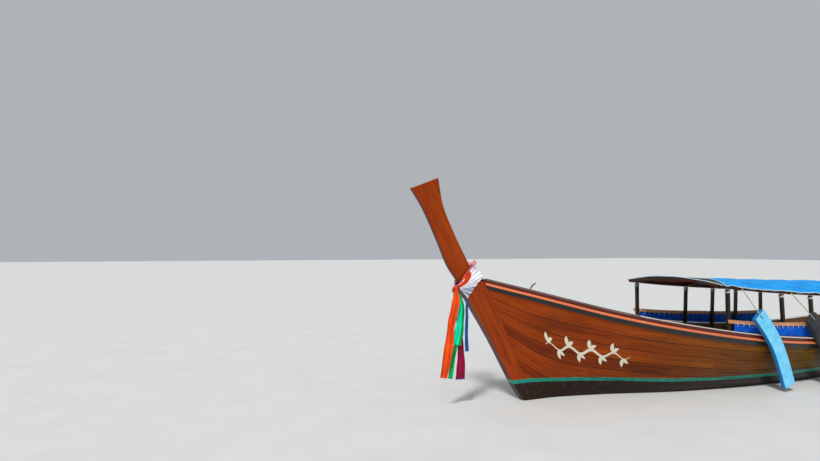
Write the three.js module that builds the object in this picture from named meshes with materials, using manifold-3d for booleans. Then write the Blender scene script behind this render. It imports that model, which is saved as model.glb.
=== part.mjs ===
// Longtail boat, afloat. Millimetres, +X to the bow, +Y to port, +Z up.
// Origin: on the waterline, on the centre plane, at the middle of the waterline length.
import * as THREE from 'three';
import { mergeVertices } from 'three/addons/utils/BufferGeometryUtils.js';
import Module from 'manifold-3d';

const wasm = await Module();
wasm.setup();

// Driving dimensions of the hull
const GAP = 0.4;
const PLANK = 30;
const KEEL_HALF = 44.5;
const KEEL_DEPTH = 55;
const KEEL_RISE = 6;
const KEEL_FORE_X = 3899;
const STEM_TONGUE_HALF = 44;
const STEM_HALF = 74;
const BULWARK_HEIGHT = 45;
const TRANSOM_THICKNESS = 40;
const SPANS_PER_STATION = 4;

// Hull stations from stem to transom. Each section is one quadratic curve from keel to sheer.
// Columns: keelX, keelY, keelZ, bilgeX, bilgeY, bilgeZ, sheerX, sheerY, sheerZ
const STATIONS = [
  [4130, 75, -30, 4540, 73, 850, 4946, 75, 1735],
  [3550, 46, -130, 3880, 170, 250, 4350, 400, 1570],
  [2850, 46, -220, 2950, 360, 70, 3200, 755, 1272],
  [1900, 46, -290, 1900, 740, -20, 2000, 955, 1032],
  [600, 46, -330, 600, 930, -60, 600, 1060, 823],
  [-800, 46, -330, -800, 970, -50, -800, 1080, 705],
  [-2200, 46, -250, -2200, 850, 20, -2200, 1020, 685],
  [-3400, 46, -170, -3400, 710, 40, -3400, 880, 760],
  [-4250, 46, -80, -4288, 540, 100, -4450, 700, 870],
];
const LAST = STATIONS.length - 1;
const SECTION_STEPS = [0, 0.12, 0.26, 0.42, 0.6, 0.8, 1];
const BILGE_SEAM = 0.26;
const SEAM_HALF = 0.0012;
// The stations where planks meet end to end, with a gap of twice BUTT_HALF stations
const BOTTOM_BUTTS = [4];
const SIDE_BUTTS = [2.75, 5.25];
const BUTT_HALF = 0.0004;
// The keel's scarf slants this far fore and aft of its middle
const KEEL_SCARF_X = 900;
const KEEL_SCARF_REACH = 150;
const SCARF_GAP = 2.5;

// Stem and prow blade in side view
const STEM_TOP_Z = 1770;
const BLADE_HALF = 35;
// Columns: x, z, from the forefoot up the leading edge
const STEM_LEADING = [
  [3900, -120], [4130, -95], [4300, 0], [4480, 244], [4850, 900], [5240, 1523], [5375, STEM_TOP_Z],
];
// Columns: x, z, from the stem head down the inside of the stem
const STEM_INNER = [
  [5060, STEM_TOP_Z], [4890, 1735], [4480, 850], [4070, -30], [3900, -51],
];
const RABBET_FOOT = [4132, -34];
const RABBET_HEAD = [4950, 1740];
const BLADE_LEADING = [
  [5377, STEM_TOP_Z + GAP], [5530, 1990], [5680, 2327], [5890, 2760], [6080, 3053],
];
const BLADE_AFT = [
  [5670, 3213], [5590, 2810], [5400, 2388], [5240, 2088], [5063, STEM_TOP_Z + GAP],
];

// Rails along the sheer
const RUB_RAIL_GAP = 3;
const RUB_RAIL_HEIGHT = 40;
const RUB_RAIL_DEPTH = 35;
const STRAKE_HEIGHT = 70;
const STRAKE_DEPTH = 12;
const CAP_THICKNESS = 18;
const CAP_GAP = 3.5;
const CAP_INSIDE = 50;
const CAP_OUTSIDE = 38;

// Inside of the hull
const RIB_STATIONS = [
  1, 1.5, 2, 2.5, 3, 3.25, 3.5, 3.75, 4, 4.25, 4.5, 4.75,
  5, 5.25, 5.5, 5.75, 6, 6.25, 6.5, 6.75, 7, 7.25, 7.5, 7.75,
];
const RIB_GIRTHS = [0, 0.26, 0.6, 1];
const RIB_GIRTHS_UNDER_FOREDECK = [0, 0.12, 0.26, 0.42, 0.6, 0.8];
const RIB_GIRTHS_UNDER_AFT_DECK = [0, 0.26, 0.6, 0.78];
const RIB_GAP = 7;
const FLOOR_GAP = 16;
const RIB_WIDTH = 40;
const RIB_INSIDE = 78;
const RISER_INSIDE = 100;
const RISER_BOTTOM = 265;
const RISER_TOP = 320;
const RISER_STATIONS = [1, 7.75];
const FOREDECK_STATION = 2.75;
const FLOOR_TOP = -60;
const FLOOR_THICKNESS = 22;
const FLOOR_AFT_X = -2900;
const FLOOR_FORE_X = 2300;
const THWART_TOP = 360;
const THWART_WIDTH = 260;
const THWART_BAYS = [4, 4.5, 5, 5.5];
const FOREDECK_DROP = 75;
const FOREDECK_AFT_X = 2500;
const AFT_DECK_TOP = 600;
const AFT_DECK_FORE_X = -2750;
const DECK_THICKNESS = 26;

// Canopy
const POST_X = [1200, 0, -700, -1330, -2030];
const POST_SIZE = 50;
const POST_FOOT_INSIDE = 80;
const POST_HEAD_Y = 945;
const ROOF_HALF = 1000;
const ROOF_THICKNESS = 12;
const EAVE_RAIL = [60, 40];
const HOOP_DEPTH = 42;
const HOOP_WIDTH = 45;
const ROOF_GAP = 5;
const BATTEN_Y = [-480, 0, 480];
const BATTEN_SIZE = [50, 20];
// The rear cover's front edge, at the port eave and at the starboard eave
const COVER_SPLIT_X = [1300, -140];
const COVER_SPANS = 12;
// Columns: x, eave z, crown z
const ROOF = [
  [1370, 1670, 1767], [540, 1588, 1722], [-500, 1512, 1680], [-1300, 1465, 1650], [-2130, 1438, 1628],
];
const SIDE_RAIL_RISE = [165, 230];
const SIDE_RAIL_SECTION = [30, 55];
const SIDE_RAIL_FORE_X = 1240;
const SIDE_RAIL_AFT_X = -2080;
const SIDE_RAIL_GAP = 3;
const CLOTH_THICKNESS = 8;

// Engine, swivel and tail. The cradle, engine and tail are placed level from the trunnion, tail towards -X
const PIVOT = [-4080, 0, 1350];
const TAIL_ANGLE = THREE.MathUtils.degToRad(14);
const ENGINE_FORWARD = 180;
const CRANK_AXIS_Z = 215;
const TAIL_AXIS_Z = 275;
const PIN_CLEARANCE = 2;

const PEDESTAL_TOP = 1175;
const PEDESTAL_RADIUS = 62;
const PEDESTAL_FOOT_RADIUS = 150;
const PEDESTAL_HEAD_RADIUS = 80;
const PEDESTAL_BORE_DEPTH = 220;
const KINGPIN_RADIUS = 26;
const KINGPIN_DEPTH = 200;

const YOKE_OVER_PEDESTAL = 3;
const YOKE_PLATE = 22;
const YOKE_PLATE_HALF = 70;
const YOKE_ARM_HALF = 45;
const YOKE_ARM_Y = [200, 228];
const YOKE_ABOVE_EYE = 42;
const TRUNNION_RADIUS = 20;
const TRUNNION_HALF = 226;
const TRUNNION_BLOCK = [60, 180, 45];
const TRUNNION_BLOCK_DEPTH = 38;

const CRADLE_X = [-380, 740];
const CRADLE_RAIL_Y = 155;
const CRADLE_RAIL_HALF = 22;
const CRADLE_RAIL_Z = [30, 82];
const CRADLE_TIE_X = [-360, -120, 510, 700];
const CRADLE_TIE_Z = [32, 76];

// Columns: y, z of the engine block's section, the port half from the sump up
const BLOCK_HALF_SECTION = [[95, 110], [120, 190], [150, 230], [150, 420], [105, 470]];
const BLOCK_X = [-260, 340];
const ENGINE_FOOT_X = [-180, 240];
const ENGINE_FOOT_HALF = 30;
const ENGINE_FOOT_Z = [84, 240];
const PULLEY_X = [330, 375];
const PULLEY_RADIUS = 75;
const FAN_AXIS_Z = 370;
const FAN_HUB_RADIUS = 22;
const FAN_HUB_END_X = 392;
const FAN_BLADE = [10, 52, 165];
const FAN_BLADE_X = 380;
const FAN_BLADES = 6;
const ALTERNATOR_PLACE = [190, -215, 330];
const ALTERNATOR_SIZE = [140, 62];
const ALTERNATOR_BRACKET = [[220, -215, 300], [290, -140, 345]];
const HEAD_COVER = [[-220, -72, 465], [300, 72, 545]];
const FILLER_X = -60;
const FILLER_SIZE = [30, 32];

const RADIATOR_CORE = [[420, -235, 150], [470, 235, 585]];
const RADIATOR_TANK = [[412, -225, 580], [478, 225, 625]];
const RADIATOR_LEG_X = [430, 462];
const RADIATOR_LEG_HALF = 18;
const RADIATOR_CAP = [445, -120, 620];
const RADIATOR_CAP_SIZE = [25, 28];
const AIR_CLEANER_PLACE = [150, 30];
// Columns: radius, z
const AIR_CLEANER_PROFILE = [[0, 560], [105, 560], [125, 575], [125, 655], [105, 672], [0, 672]];
const EXHAUST_LOG = [[-200, 151, 395], [250, 205, 440]];
const EXHAUST_RADIUS = 30;
// Columns: x, y, z
const EXHAUST_PATH = [
  [20, 180, 418], [20, 235, 425], [10, 262, 520], [0, 262, 780], [-60, 262, 900], [-190, 262, 935],
];
// Columns: radius, x
const GEARBOX_PROFILE = [
  [0, -560], [78, -560], [92, -540], [92, -430], [120, -380], [160, -300], [165, -263], [0, -263],
];
const GEARBOX_FOOT = [[-530, -120, 78], [-470, 120, 200]];
const TILLER_RADIUS = 21;
// Columns: x, y, z
const TILLER_PATH = [[565, 0, 55], [740, 0, 35], [930, 0, -45], [1150, 0, -165], [1260, 0, -210]];
const TILLER_SOCKET = [[545, -60, 34], [585, 60, 78]];
const TILLER_GRIP = [[1245, 0, -204], [1373, 0, -256]];
const TILLER_GRIP_RADII = [26, 24];

const TUBE_X = [-3780, -460];
const TUBE_RADII = [26, 34];
const COLLAR_X = [-480, -384];
const COLLAR_RADII = [56, 72];
const BEARING_X = [-3825, -3690];
const BEARING_RADII = [34, 38];
const BRACE_POST_X = [-1300, -2000, -2700];
const BRACE_END_X = [-700, -3350];
const BRACE_RISE = 150;
const BRACE_ROD_RADIUS = 9;
const BRACE_CLAMP_HALF = 14;
const BRACE_CLAMP_WALL = 14;
const PROPELLER_X = -3900;
const SKEG_HALF = 5;
// Columns: x from the propeller, z from the shaft
const SKEG_OUTLINE = [
  [260, -25], [130, -25], [60, -190], [-70, -215], [-70, -240], [40, -235], [150, -150],
];
const HUB_X = [-40, 62];
const HUB_RADII = [20, 34];
const PROPELLER_SHAFT_X = [50, 72];
const PROPELLER_SHAFT_RADIUS = 16;
// Columns: radius, chord, pitch angle, thickness
const PROPELLER_SECTIONS = [
  [15, 46, 0.5, 12], [60, 72, 0.75, 9], [110, 84, 0.95, 7], [150, 62, 1.1, 5], [172, 24, 1.15, 4],
];

// Fenders hang from the roof, on the port side. Columns: x, z, from the top down
const FENDER_BLUE_LINE = [[847, 1224], [629, 977], [457, 729], [330, 459], [195, 90]];
const FENDER_BLACK_LINE = [[-347, 1141], [-550, 885], [-704, 620], [-810, 350], [-905, 50]];
const FENDER_WIDTH = 240;
const FENDER_THICKNESS = 70;
const FENDER_Y = 1172;
const FENDER_ROPE_RADIUS = 7;
const FENDER_HANG = [[930, 1010, 1570], [-190, 1010, 1480]];
const ROPE_BELOW_FENDER_TOP = 30;

// Cloth round the stem head, and the sashes that hang from its knot
// Columns: x, z
const WRAP_OUTLINE = [
  [4990, 1835], [5252, 1508], [5350, 1610], [5392, 1700], [5165, 2030], [5105, 2015],
];
const WRAP_CLEARANCE = 3;
const WRAP_HALF = 96;
const WRAP_LAP = 30;
const WRAP_HALF_ON_BLADE = 60;
const FLOWER_PLACE = [5140, 62, 2015];
const FLOWER_RADIUS = 58;
const SASH_KNOT = [5400, 0, 1645];
const SASH_KNOT_SIZE = [42, 75, 52];
const SASH_THICKNESS = 24;
const SASH_GATHERED = 0.4;
// Columns: x and z from below the knot to the foot, width, y
const SASHES = [
  [[[5433, 1418], [5486, 1169], [5522, 922], [5613, 430]], 125, 60],
  [[[5325, 1411], [5345, 1120], [5395, 830], [5480, 390]], 135, 22],
  [[[5345, 1300], [5310, 900], [5320, 370]], 120, -16],
  [[[5300, 1400], [5258, 1100], [5258, 780]], 60, -54],
];

// Anchor on the foredeck, fuel tank on the aft deck
const ANCHOR_CROWN = [3990, -150, 1485];
const ANCHOR_RING = [3370, -170, 1380];
const ANCHOR_SHANK_RADII = [15, 13];
const FLUKE_RADIUS = 11;
const CHOCK_X = [3900, 3440];
const CHOCK_LENGTH = 60;
const CHOCK_WIDTH = 110;
const CHOCK_FOOT = 12;
// Columns: how far across, how far up
const FLUKE_WAYS = [[0, 1], [1, 0.1], [-1, 0.1]];
const TANK_PLACE = [-3350, -120, 601];
const TANK_SIZE = [230, 380, 300];
const TANK_CORNER = 30;

const COLOURS = {
  teak: 0x96500f, stem: 0xb8560c, rail: 0xe0762a, cap: 0xb9b4aa, rib: 0x7a4a1e, floor: 0x8a6a45,
  post: 0x33271d, batten: 0xb5774a, tarp: 0x0a8fe0, canvas: 0x2a201c, cloth: 0x0a55d0, steel: 0x55585c,
  engine: 0x3f5e49, radiator: 0x1c1d1f, brass: 0xb08a3a, fender: 0x63c3ee, rubber: 0x17181a, orange: 0xf0641e,
  white: 0xe6e2e4, tank: 0xc8c4b0,
};

function material(colour, roughness, metalness = 0) {
  return new THREE.MeshStandardMaterial({ color: COLOURS[colour], roughness, metalness });
}

function mesh(name, geometry, look) {
  const made = new THREE.Mesh(geometry, look);
  made.name = name;
  return made;
}

// Closed solids and booleans

function toSolid(geometry) {
  const bare = geometry.index ? geometry.clone() : geometry;
  bare.deleteAttribute('normal');
  bare.deleteAttribute('uv');
  const merged = mergeVertices(bare, 1e-3);
  return new wasm.Manifold(new wasm.Mesh({
    numProp: 3,
    vertProperties: new Float32Array(merged.attributes.position.array),
    triVerts: new Uint32Array(merged.index.array),
  }));
}

function toGeometry(solid) {
  const made = solid.getMesh();
  const geometry = new THREE.BufferGeometry();
  geometry.setAttribute('position', new THREE.BufferAttribute(new Float32Array(made.vertProperties), 3));
  geometry.setIndex(new THREE.BufferAttribute(new Uint32Array(made.triVerts), 1));
  return geometry;
}

function joined(...geometries) {
  return toGeometry(geometries.map(toSolid).reduce((whole, next) => whole.add(next)));
}

function cut(geometry, ...tools) {
  return toGeometry(tools.map(toSolid).reduce((whole, tool) => whole.subtract(tool), toSolid(geometry)));
}

function common(first, second) {
  return toGeometry(toSolid(first).intersect(toSolid(second)));
}

// A solid through rings of points; each ring has the same count, and its ends close pair by pair.
function loft(rings) {
  const count = rings[0].length;
  const positions = rings.flat().flatMap((point) => [point.x, point.y, point.z]);
  const index = [];
  for (let ring = 0; ring < rings.length - 1; ring += 1) {
    for (let step = 0; step < count; step += 1) {
      const next = (step + 1) % count;
      const a = ring * count + step;
      const b = ring * count + next;
      const c = (ring + 1) * count + next;
      const d = (ring + 1) * count + step;
      index.push(a, b, c, a, c, d);
    }
  }
  const foot = (rings.length - 1) * count;
  for (let step = 0; step < count / 2 - 1; step += 1) {
    const low = step;
    const lowNext = step + 1;
    const high = count - 1 - step;
    const highNext = count - 2 - step;
    index.push(low, highNext, lowNext, low, high, highNext);
    index.push(foot + low, foot + lowNext, foot + highNext, foot + low, foot + highNext, foot + high);
  }
  const geometry = new THREE.BufferGeometry();
  geometry.setAttribute('position', new THREE.Float32BufferAttribute(positions, 3));
  geometry.setIndex(index.filter((_, i) => !degenerate(index, i, positions)));
  return facingOut(geometry);
}

function degenerate(index, i, positions) {
  const start = i - (i % 3);
  const corners = [0, 1, 2].map((k) => index[start + k] * 3);
  const same = (p, q) => [0, 1, 2].every((k) => Math.abs(positions[p + k] - positions[q + k]) < 1e-3);
  return same(corners[0], corners[1]) || same(corners[1], corners[2]) || same(corners[0], corners[2]);
}

function facingOut(geometry) {
  const position = geometry.attributes.position;
  const order = geometry.index.array;
  const [a, b, c] = [new THREE.Vector3(), new THREE.Vector3(), new THREE.Vector3()];
  let volume = 0;
  for (let i = 0; i < order.length; i += 3) {
    a.fromBufferAttribute(position, order[i]);
    b.fromBufferAttribute(position, order[i + 1]);
    c.fromBufferAttribute(position, order[i + 2]);
    volume += a.dot(b.cross(c));
  }
  if (volume < 0) {
    const turned = [];
    for (let i = 0; i < order.length; i += 3) turned.push(order[i], order[i + 2], order[i + 1]);
    geometry.setIndex(turned);
  }
  return geometry;
}

function box(low, high) {
  const size = high.map((value, i) => value - low[i]);
  const geometry = new THREE.BoxGeometry(...size);
  return geometry.translate(...low.map((value, i) => value + size[i] / 2));
}

// A round bar or cone between two points
function bar(from, to, radius, endRadius = radius, sides = 12) {
  const start = new THREE.Vector3(...from);
  const end = new THREE.Vector3(...to);
  const along = end.clone().sub(start);
  const geometry = new THREE.CylinderGeometry(endRadius, radius, along.length(), sides);
  const upright = new THREE.Vector3(0, 1, 0);
  const turn = new THREE.Quaternion().setFromUnitVectors(upright, along.clone().normalize());
  geometry.applyQuaternion(turn);
  return geometry.translate(...start.add(end).multiplyScalar(0.5).toArray());
}

const smoothPath = (points) => new THREE.CatmullRomCurve3(points, false, 'centripetal');

// A round tube along a smooth curve through the points
function tube(points, radius, steps, sides = 10) {
  const path = smoothPath(points.map((point) => new THREE.Vector3(...point)));
  const section = new THREE.Shape();
  for (let side = 0; side < sides; side += 1) {
    const angle = (side / sides) * Math.PI * 2;
    const place = [radius * Math.cos(angle), radius * Math.sin(angle)];
    if (side === 0) section.moveTo(...place);
    else section.lineTo(...place);
  }
  return new THREE.ExtrudeGeometry(section, { steps, extrudePath: path, bevelEnabled: false });
}

// A plate with a side-view outline of (x, z) points, from y = low to y = high
function sidePlate(outline, low, high) {
  const shape = new THREE.Shape(outline.map(([x, z]) => new THREE.Vector2(x, z)));
  const geometry = new THREE.ExtrudeGeometry(shape, { depth: high - low, bevelEnabled: false });
  geometry.rotateX(Math.PI / 2);
  return geometry.translate(0, high, 0);
}

// Hull surface

function stationCurve(column) {
  const points = STATIONS.map((row) => new THREE.Vector3(row[column], row[column + 1], row[column + 2]));
  return new THREE.CatmullRomCurve3(points, false, 'catmullrom', 0.5);
}
const KEEL_CURVE = stationCurve(0);
const BILGE_CURVE = stationCurve(3);
const SHEER_CURVE = stationCurve(6);

// A point of the outside of the port planking; station 0 is the stem and girth 1 the sheer.
// Past the sheer, rise carries the section on in a straight line.
function hullPoint(station, girth, rise = 0) {
  const u = station / LAST;
  const keel = KEEL_CURVE.getPoint(u);
  const bilge = BILGE_CURVE.getPoint(u);
  const sheer = SHEER_CURVE.getPoint(u);
  const point = keel.clone().multiplyScalar((1 - girth) ** 2);
  point.addScaledVector(bilge, 2 * girth * (1 - girth)).addScaledVector(sheer, girth ** 2);
  point.addScaledVector(sheer.sub(bilge).normalize(), rise);
  point.y = Math.max(point.y, KEEL_HALF + 1);
  return point;
}

function hullNormal(station, girth) {
  const d = 0.01;
  const fore = hullPoint(Math.max(station - d, 0), girth);
  const aft = hullPoint(Math.min(station + d, LAST), girth);
  const low = hullPoint(station, Math.max(girth - d, 0));
  const high = hullPoint(station, Math.min(girth + d, 1));
  return high.sub(low).cross(fore.sub(aft)).normalize();
}

// The hull surface moved in by inside millimetres, never past the keel's side
function insidePoint(station, girth, inside) {
  const point = hullPoint(station, girth).addScaledVector(hullNormal(station, girth), -inside);
  point.y = Math.max(point.y, KEEL_HALF + 1);
  return point;
}

// The station whose side, rise millimetres past the sheer, lies at x
function stationAt(x, rise = 0) {
  let [low, high] = [0, LAST];
  for (let i = 0; i < 30; i += 1) {
    const middle = (low + high) / 2;
    if (hullPoint(middle, 1, rise).x > x) low = middle;
    else high = middle;
  }
  return (low + high) / 2;
}

const sheerAt = (x) => hullPoint(stationAt(x), 1);
const topEdgeZ = (x) => hullPoint(stationAt(x, BULWARK_HEIGHT), 1, BULWARK_HEIGHT).z;

// The bulwark's top edge moved across by out millimetres, at the height of the edge beside it
function topEdgePoint(station, out) {
  const point = hullPoint(station, 1, BULWARK_HEIGHT);
  const across = hullNormal(station, 1).setZ(0);
  const flare = across.length();
  point.addScaledVector(across.normalize(), out / flare);
  point.y = Math.max(point.y, KEEL_HALF + 1);
  point.z = topEdgeZ(point.x);
  return point;
}

function stationSteps(from = 0, to = LAST) {
  const count = Math.max(2, Math.round((to - from) * SPANS_PER_STATION));
  return Array.from({ length: count + 1 }, (_, i) => from + ((to - from) * i) / count);
}

const mirrored = (point) => new THREE.Vector3(point.x, -point.y, point.z);

function mirroredGeometry(geometry) {
  return facingOut(toGeometry(toSolid(geometry).mirror([0, 1, 0])));
}

// A run of one side's planking between two girths and two stations: the outside, then the inside
function planking(low, high, withBulwark, [fore, aft]) {
  const between = (girth) => girth > low + SEAM_HALF * 2 && girth < high - SEAM_HALF * 2;
  const girths = [low, ...SECTION_STEPS.filter(between), high];
  const rings = stationSteps(fore, aft).map((station) => {
    const outside = girths.map((girth) => hullPoint(station, girth));
    const inside = girths.map((girth) => insidePoint(station, girth, PLANK));
    if (withBulwark) {
      outside.push(hullPoint(station, 1, BULWARK_HEIGHT));
      inside.push(topEdgePoint(station, -PLANK));
    }
    return [...outside, ...inside.reverse()];
  });
  return loft(rings);
}

const bottomPlanking = (range) => planking(0, BILGE_SEAM - SEAM_HALF, false, range);
const sidePlanking = (range) => planking(BILGE_SEAM + SEAM_HALF, 1, true, range);

// The space inside the hull, inset from the outside of the planking and carried up above the sheer
function hullSpace(inset, above = 0) {
  const rings = stationSteps(1 / SPANS_PER_STATION, LAST).map((station) => {
    const side = SECTION_STEPS.map((girth) => insidePoint(station, girth, inset));
    const top = topEdgePoint(station, -inset);
    side.push(top);
    if (above > 0) side.push(new THREE.Vector3(top.x, top.y, top.z + above));
    return [...side.map((point) => new THREE.Vector3(point.x, -1, point.z)), ...side.reverse()];
  });
  const half = loft(rings);
  return joined(half, mirroredGeometry(half));
}

// A point of the inset hull side at a height, on the straight line between two rows of its section
function insideAt(station, z, inset) {
  const side = SECTION_STEPS.map((girth) => insidePoint(station, girth, inset));
  const row = side.findIndex((point) => point.z >= z);
  const [low, high] = [side[row - 1], side[row]];
  return low.clone().lerp(high, (z - low.z) / (high.z - low.z));
}

// Keel, stem, prow blade, transom

function stationOfKeel(x) {
  let [low, high] = [0, LAST];
  for (let i = 0; i < 30; i += 1) {
    const middle = (low + high) / 2;
    if (KEEL_CURVE.getPoint(middle / LAST).x > x) low = middle;
    else high = middle;
  }
  return (low + high) / 2;
}

// The keel's line between two x, at a height above the garboard's edge
function keelLine(fore, aft, rise) {
  const least = 20;
  const inner = stationSteps().map((station) => hullPoint(station, 0))
    .filter((point) => point.x < fore - least && point.x > aft + least);
  const ends = [fore, aft].map((x) => hullPoint(stationOfKeel(x), 0));
  return [ends[0], ...inner, ends[1]].map((point) => [point.x, point.z + rise]);
}

function keelPiece(topFore, topAft, bottomFore, bottomAft) {
  const top = keelLine(topFore, topAft, KEEL_RISE);
  const bottom = keelLine(bottomFore, bottomAft, -KEEL_DEPTH).reverse();
  return sidePlate([...top, ...bottom], -KEEL_HALF, KEEL_HALF);
}

const KEEL_AFT_X = STATIONS[LAST][0];
const [SCARF_TOP, SCARF_BOTTOM] = [KEEL_SCARF_X + KEEL_SCARF_REACH, KEEL_SCARF_X - KEEL_SCARF_REACH];
const keelFore = () => keelPiece(KEEL_FORE_X, SCARF_TOP, KEEL_FORE_X, SCARF_BOTTOM);
const keelAft = () => keelPiece(SCARF_TOP - SCARF_GAP, KEEL_AFT_X, SCARF_BOTTOM - SCARF_GAP, KEEL_AFT_X);

function stem() {
  const whole = [...STEM_LEADING, ...STEM_INNER];
  const tongue = sidePlate(whole, -STEM_TONGUE_HALF, STEM_TONGUE_HALF);
  const proud = [...STEM_LEADING, [5063, STEM_TOP_Z], RABBET_HEAD, RABBET_FOOT];
  const face = sidePlate(proud, -STEM_HALF, STEM_HALF);
  return joined(tongue, face);
}

function prowBlade() {
  return sidePlate([...BLADE_LEADING, ...BLADE_AFT], -BLADE_HALF, BLADE_HALF);
}

function transom() {
  const port = [...SECTION_STEPS.map((girth) => hullPoint(LAST, girth)), hullPoint(LAST, 1, BULWARK_HEIGHT)];
  const fore = [...port, ...port.map(mirrored).reverse()];
  const across = new THREE.Vector3(0, 1, 0);
  const up = port[port.length - 1].clone().sub(port[0]).setY(0).normalize();
  const aftward = up.clone().cross(across);
  if (aftward.x > 0) aftward.negate();
  const ring = (distance) => fore.map((point) => point.clone().addScaledVector(aftward, distance));
  return loft([ring(GAP), ring(GAP + TRANSOM_THICKNESS)]);
}

// Rails

// A strip on the outside of the planking, between two heights below the sheer
function outsideStrip(station, top, bottom, near, far) {
  const high = hullPoint(station, 1, -top);
  const low = hullPoint(station, 1, -bottom);
  const out = hullNormal(station, 0.97);
  return [
    high.clone().addScaledVector(out, near), high.clone().addScaledVector(out, far),
    low.clone().addScaledVector(out, far), low.clone().addScaledVector(out, near),
  ];
}

function rubRail() {
  const bottom = RUB_RAIL_HEIGHT + STRAKE_HEIGHT;
  const rings = stationSteps().map((station) => {
    const strip = (depth, out) => outsideStrip(station, 0, depth, RUB_RAIL_GAP, RUB_RAIL_GAP + out);
    const strake = strip(bottom, STRAKE_DEPTH);
    const rail = strip(RUB_RAIL_HEIGHT, RUB_RAIL_DEPTH);
    const step = strip(RUB_RAIL_HEIGHT, STRAKE_DEPTH);
    const middle = step[3];
    return [strake[0], rail[1], rail[2], step[2], strake[2], strake[3], middle,
      strake[0].clone().lerp(middle, 0.5)];
  });
  return loft(rings);
}

function capRail() {
  const rings = stationSteps().map((station) => {
    const inner = topEdgePoint(station, -CAP_INSIDE);
    const outer = topEdgePoint(station, CAP_OUTSIDE);
    const lift = (point, rise) => new THREE.Vector3(point.x, point.y, point.z + rise);
    const [low, high] = [CAP_GAP, CAP_GAP + CAP_THICKNESS];
    return [lift(inner, low), lift(outer, low), lift(outer, high), lift(inner, high)];
  });
  return loft(rings);
}

// Inside of the hull

function rib(station) {
  const underAftDeck = hullPoint(station, 1).x < AFT_DECK_FORE_X + 100;
  const aftGirths = underAftDeck ? RIB_GIRTHS_UNDER_AFT_DECK : RIB_GIRTHS;
  const girths = station < FOREDECK_STATION ? RIB_GIRTHS_UNDER_FOREDECK : aftGirths;
  const span = RIB_WIDTH / 2 / hullPoint(station - 0.5, 0.5).distanceTo(hullPoint(station + 0.5, 0.5));
  const outer = PLANK + RIB_GAP;
  const corners = [[-1, outer], [1, outer], [1, RIB_INSIDE], [-1, RIB_INSIDE]];
  const ring = (girth) => corners.map(([end, inset]) => insidePoint(station + end * span, girth, inset));
  const rings = girths.map(ring);
  const middle = rings[0].map((point) => new THREE.Vector3(point.x, -1, point.z));
  const half = loft([middle, ...rings]);
  return joined(half, mirroredGeometry(half));
}

function riser() {
  const rings = stationSteps(...RISER_STATIONS).map((station) => [
    insideAt(station, RISER_BOTTOM, PLANK + RIB_GAP), insideAt(station, RISER_TOP, PLANK + RIB_GAP),
    insideAt(station, RISER_TOP, RISER_INSIDE), insideAt(station, RISER_BOTTOM, RISER_INSIDE),
  ]);
  return loft(rings);
}

function frames() {
  const side = riser();
  return joined(side, mirroredGeometry(side), ...RIB_STATIONS.map(rib));
}

function floorboards() {
  const slab = box([FLOOR_AFT_X, -1200, FLOOR_TOP - FLOOR_THICKNESS], [FLOOR_FORE_X, 1200, FLOOR_TOP]);
  return common(slab, hullSpace(RIB_INSIDE + FLOOR_GAP));
}

function thwart(bay) {
  const x = (hullPoint(bay, 0.5).x + hullPoint(bay + 1 / SPANS_PER_STATION, 0.5).x) / 2;
  const slab = box([x - THWART_WIDTH / 2, -1200, RISER_TOP + GAP], [x + THWART_WIDTH / 2, 1200, THWART_TOP]);
  return common(slab, hullSpace(PLANK + 1));
}

// The blocks on the foredeck that the anchor's shank lies in
function anchorChocks() {
  const [crown, ring] = [new THREE.Vector3(...ANCHOR_CROWN), new THREE.Vector3(...ANCHOR_RING)];
  const groove = bar(ANCHOR_CROWN, ANCHOR_RING, ...ANCHOR_SHANK_RADII.map((radius) => radius + GAP), 10);
  const blocks = CHOCK_X.map((x) => {
    const centre = crown.clone().lerp(ring, (crown.x - x) / (crown.x - ring.x));
    const deck = sheerAt(x).z - FOREDECK_DROP;
    return box(
      [x - CHOCK_LENGTH / 2, centre.y - CHOCK_WIDTH / 2, deck - CHOCK_FOOT],
      [x + CHOCK_LENGTH / 2, centre.y + CHOCK_WIDTH / 2, centre.z]);
  });
  return cut(joined(...blocks), groove);
}

function foredeck() {
  const rings = stationSteps(0.35, stationAt(FOREDECK_AFT_X)).map((station) => {
    const sheer = hullPoint(station, 1);
    const corner = (y, z) => new THREE.Vector3(sheer.x, y, sheer.z - FOREDECK_DROP - z);
    return [corner(-1200, DECK_THICKNESS), corner(1200, DECK_THICKNESS), corner(1200, 0), corner(-1200, 0)];
  });
  return joined(common(loft(rings), hullSpace(PLANK + 1)), anchorChocks());
}

function aftDeck() {
  const slab = box([-4600, -1200, AFT_DECK_TOP - DECK_THICKNESS], [AFT_DECK_FORE_X, 1200, AFT_DECK_TOP]);
  return common(slab, hullSpace(PLANK + 1));
}

// Canopy

function roofAt(x) {
  const last = ROOF.length - 1;
  let row = ROOF.findIndex((entry) => entry[0] <= x);
  row = row < 1 ? (row === 0 ? 1 : last) : row;
  const [x0, eave0, crown0] = ROOF[row - 1];
  const [x1, eave1, crown1] = ROOF[row];
  const t = (x0 - x) / (x0 - x1);
  return { eave: eave0 + (eave1 - eave0) * t, crown: crown0 + (crown1 - crown0) * t };
}

function roofHeight(x, y) {
  const { eave, crown } = roofAt(x);
  return eave + (crown - eave) * (1 - (y / ROOF_HALF) ** 2);
}

// A square beam between two points, upright, with its sides along X and Y
function post(from, to, size) {
  const half = size / 2;
  const ring = ([x, y, z]) => [
    new THREE.Vector3(x - half, y - half, z), new THREE.Vector3(x + half, y - half, z),
    new THREE.Vector3(x + half, y + half, z), new THREE.Vector3(x - half, y + half, z),
  ];
  return loft([ring(from), ring(to)]);
}

function postHeadZ(x) {
  const underRoof = roofHeight(x - POST_SIZE / 2, POST_HEAD_Y + POST_SIZE / 2);
  return underRoof - ROOF_THICKNESS - ROOF_GAP - Math.max(EAVE_RAIL[1], HOOP_DEPTH) - 1;
}

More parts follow.
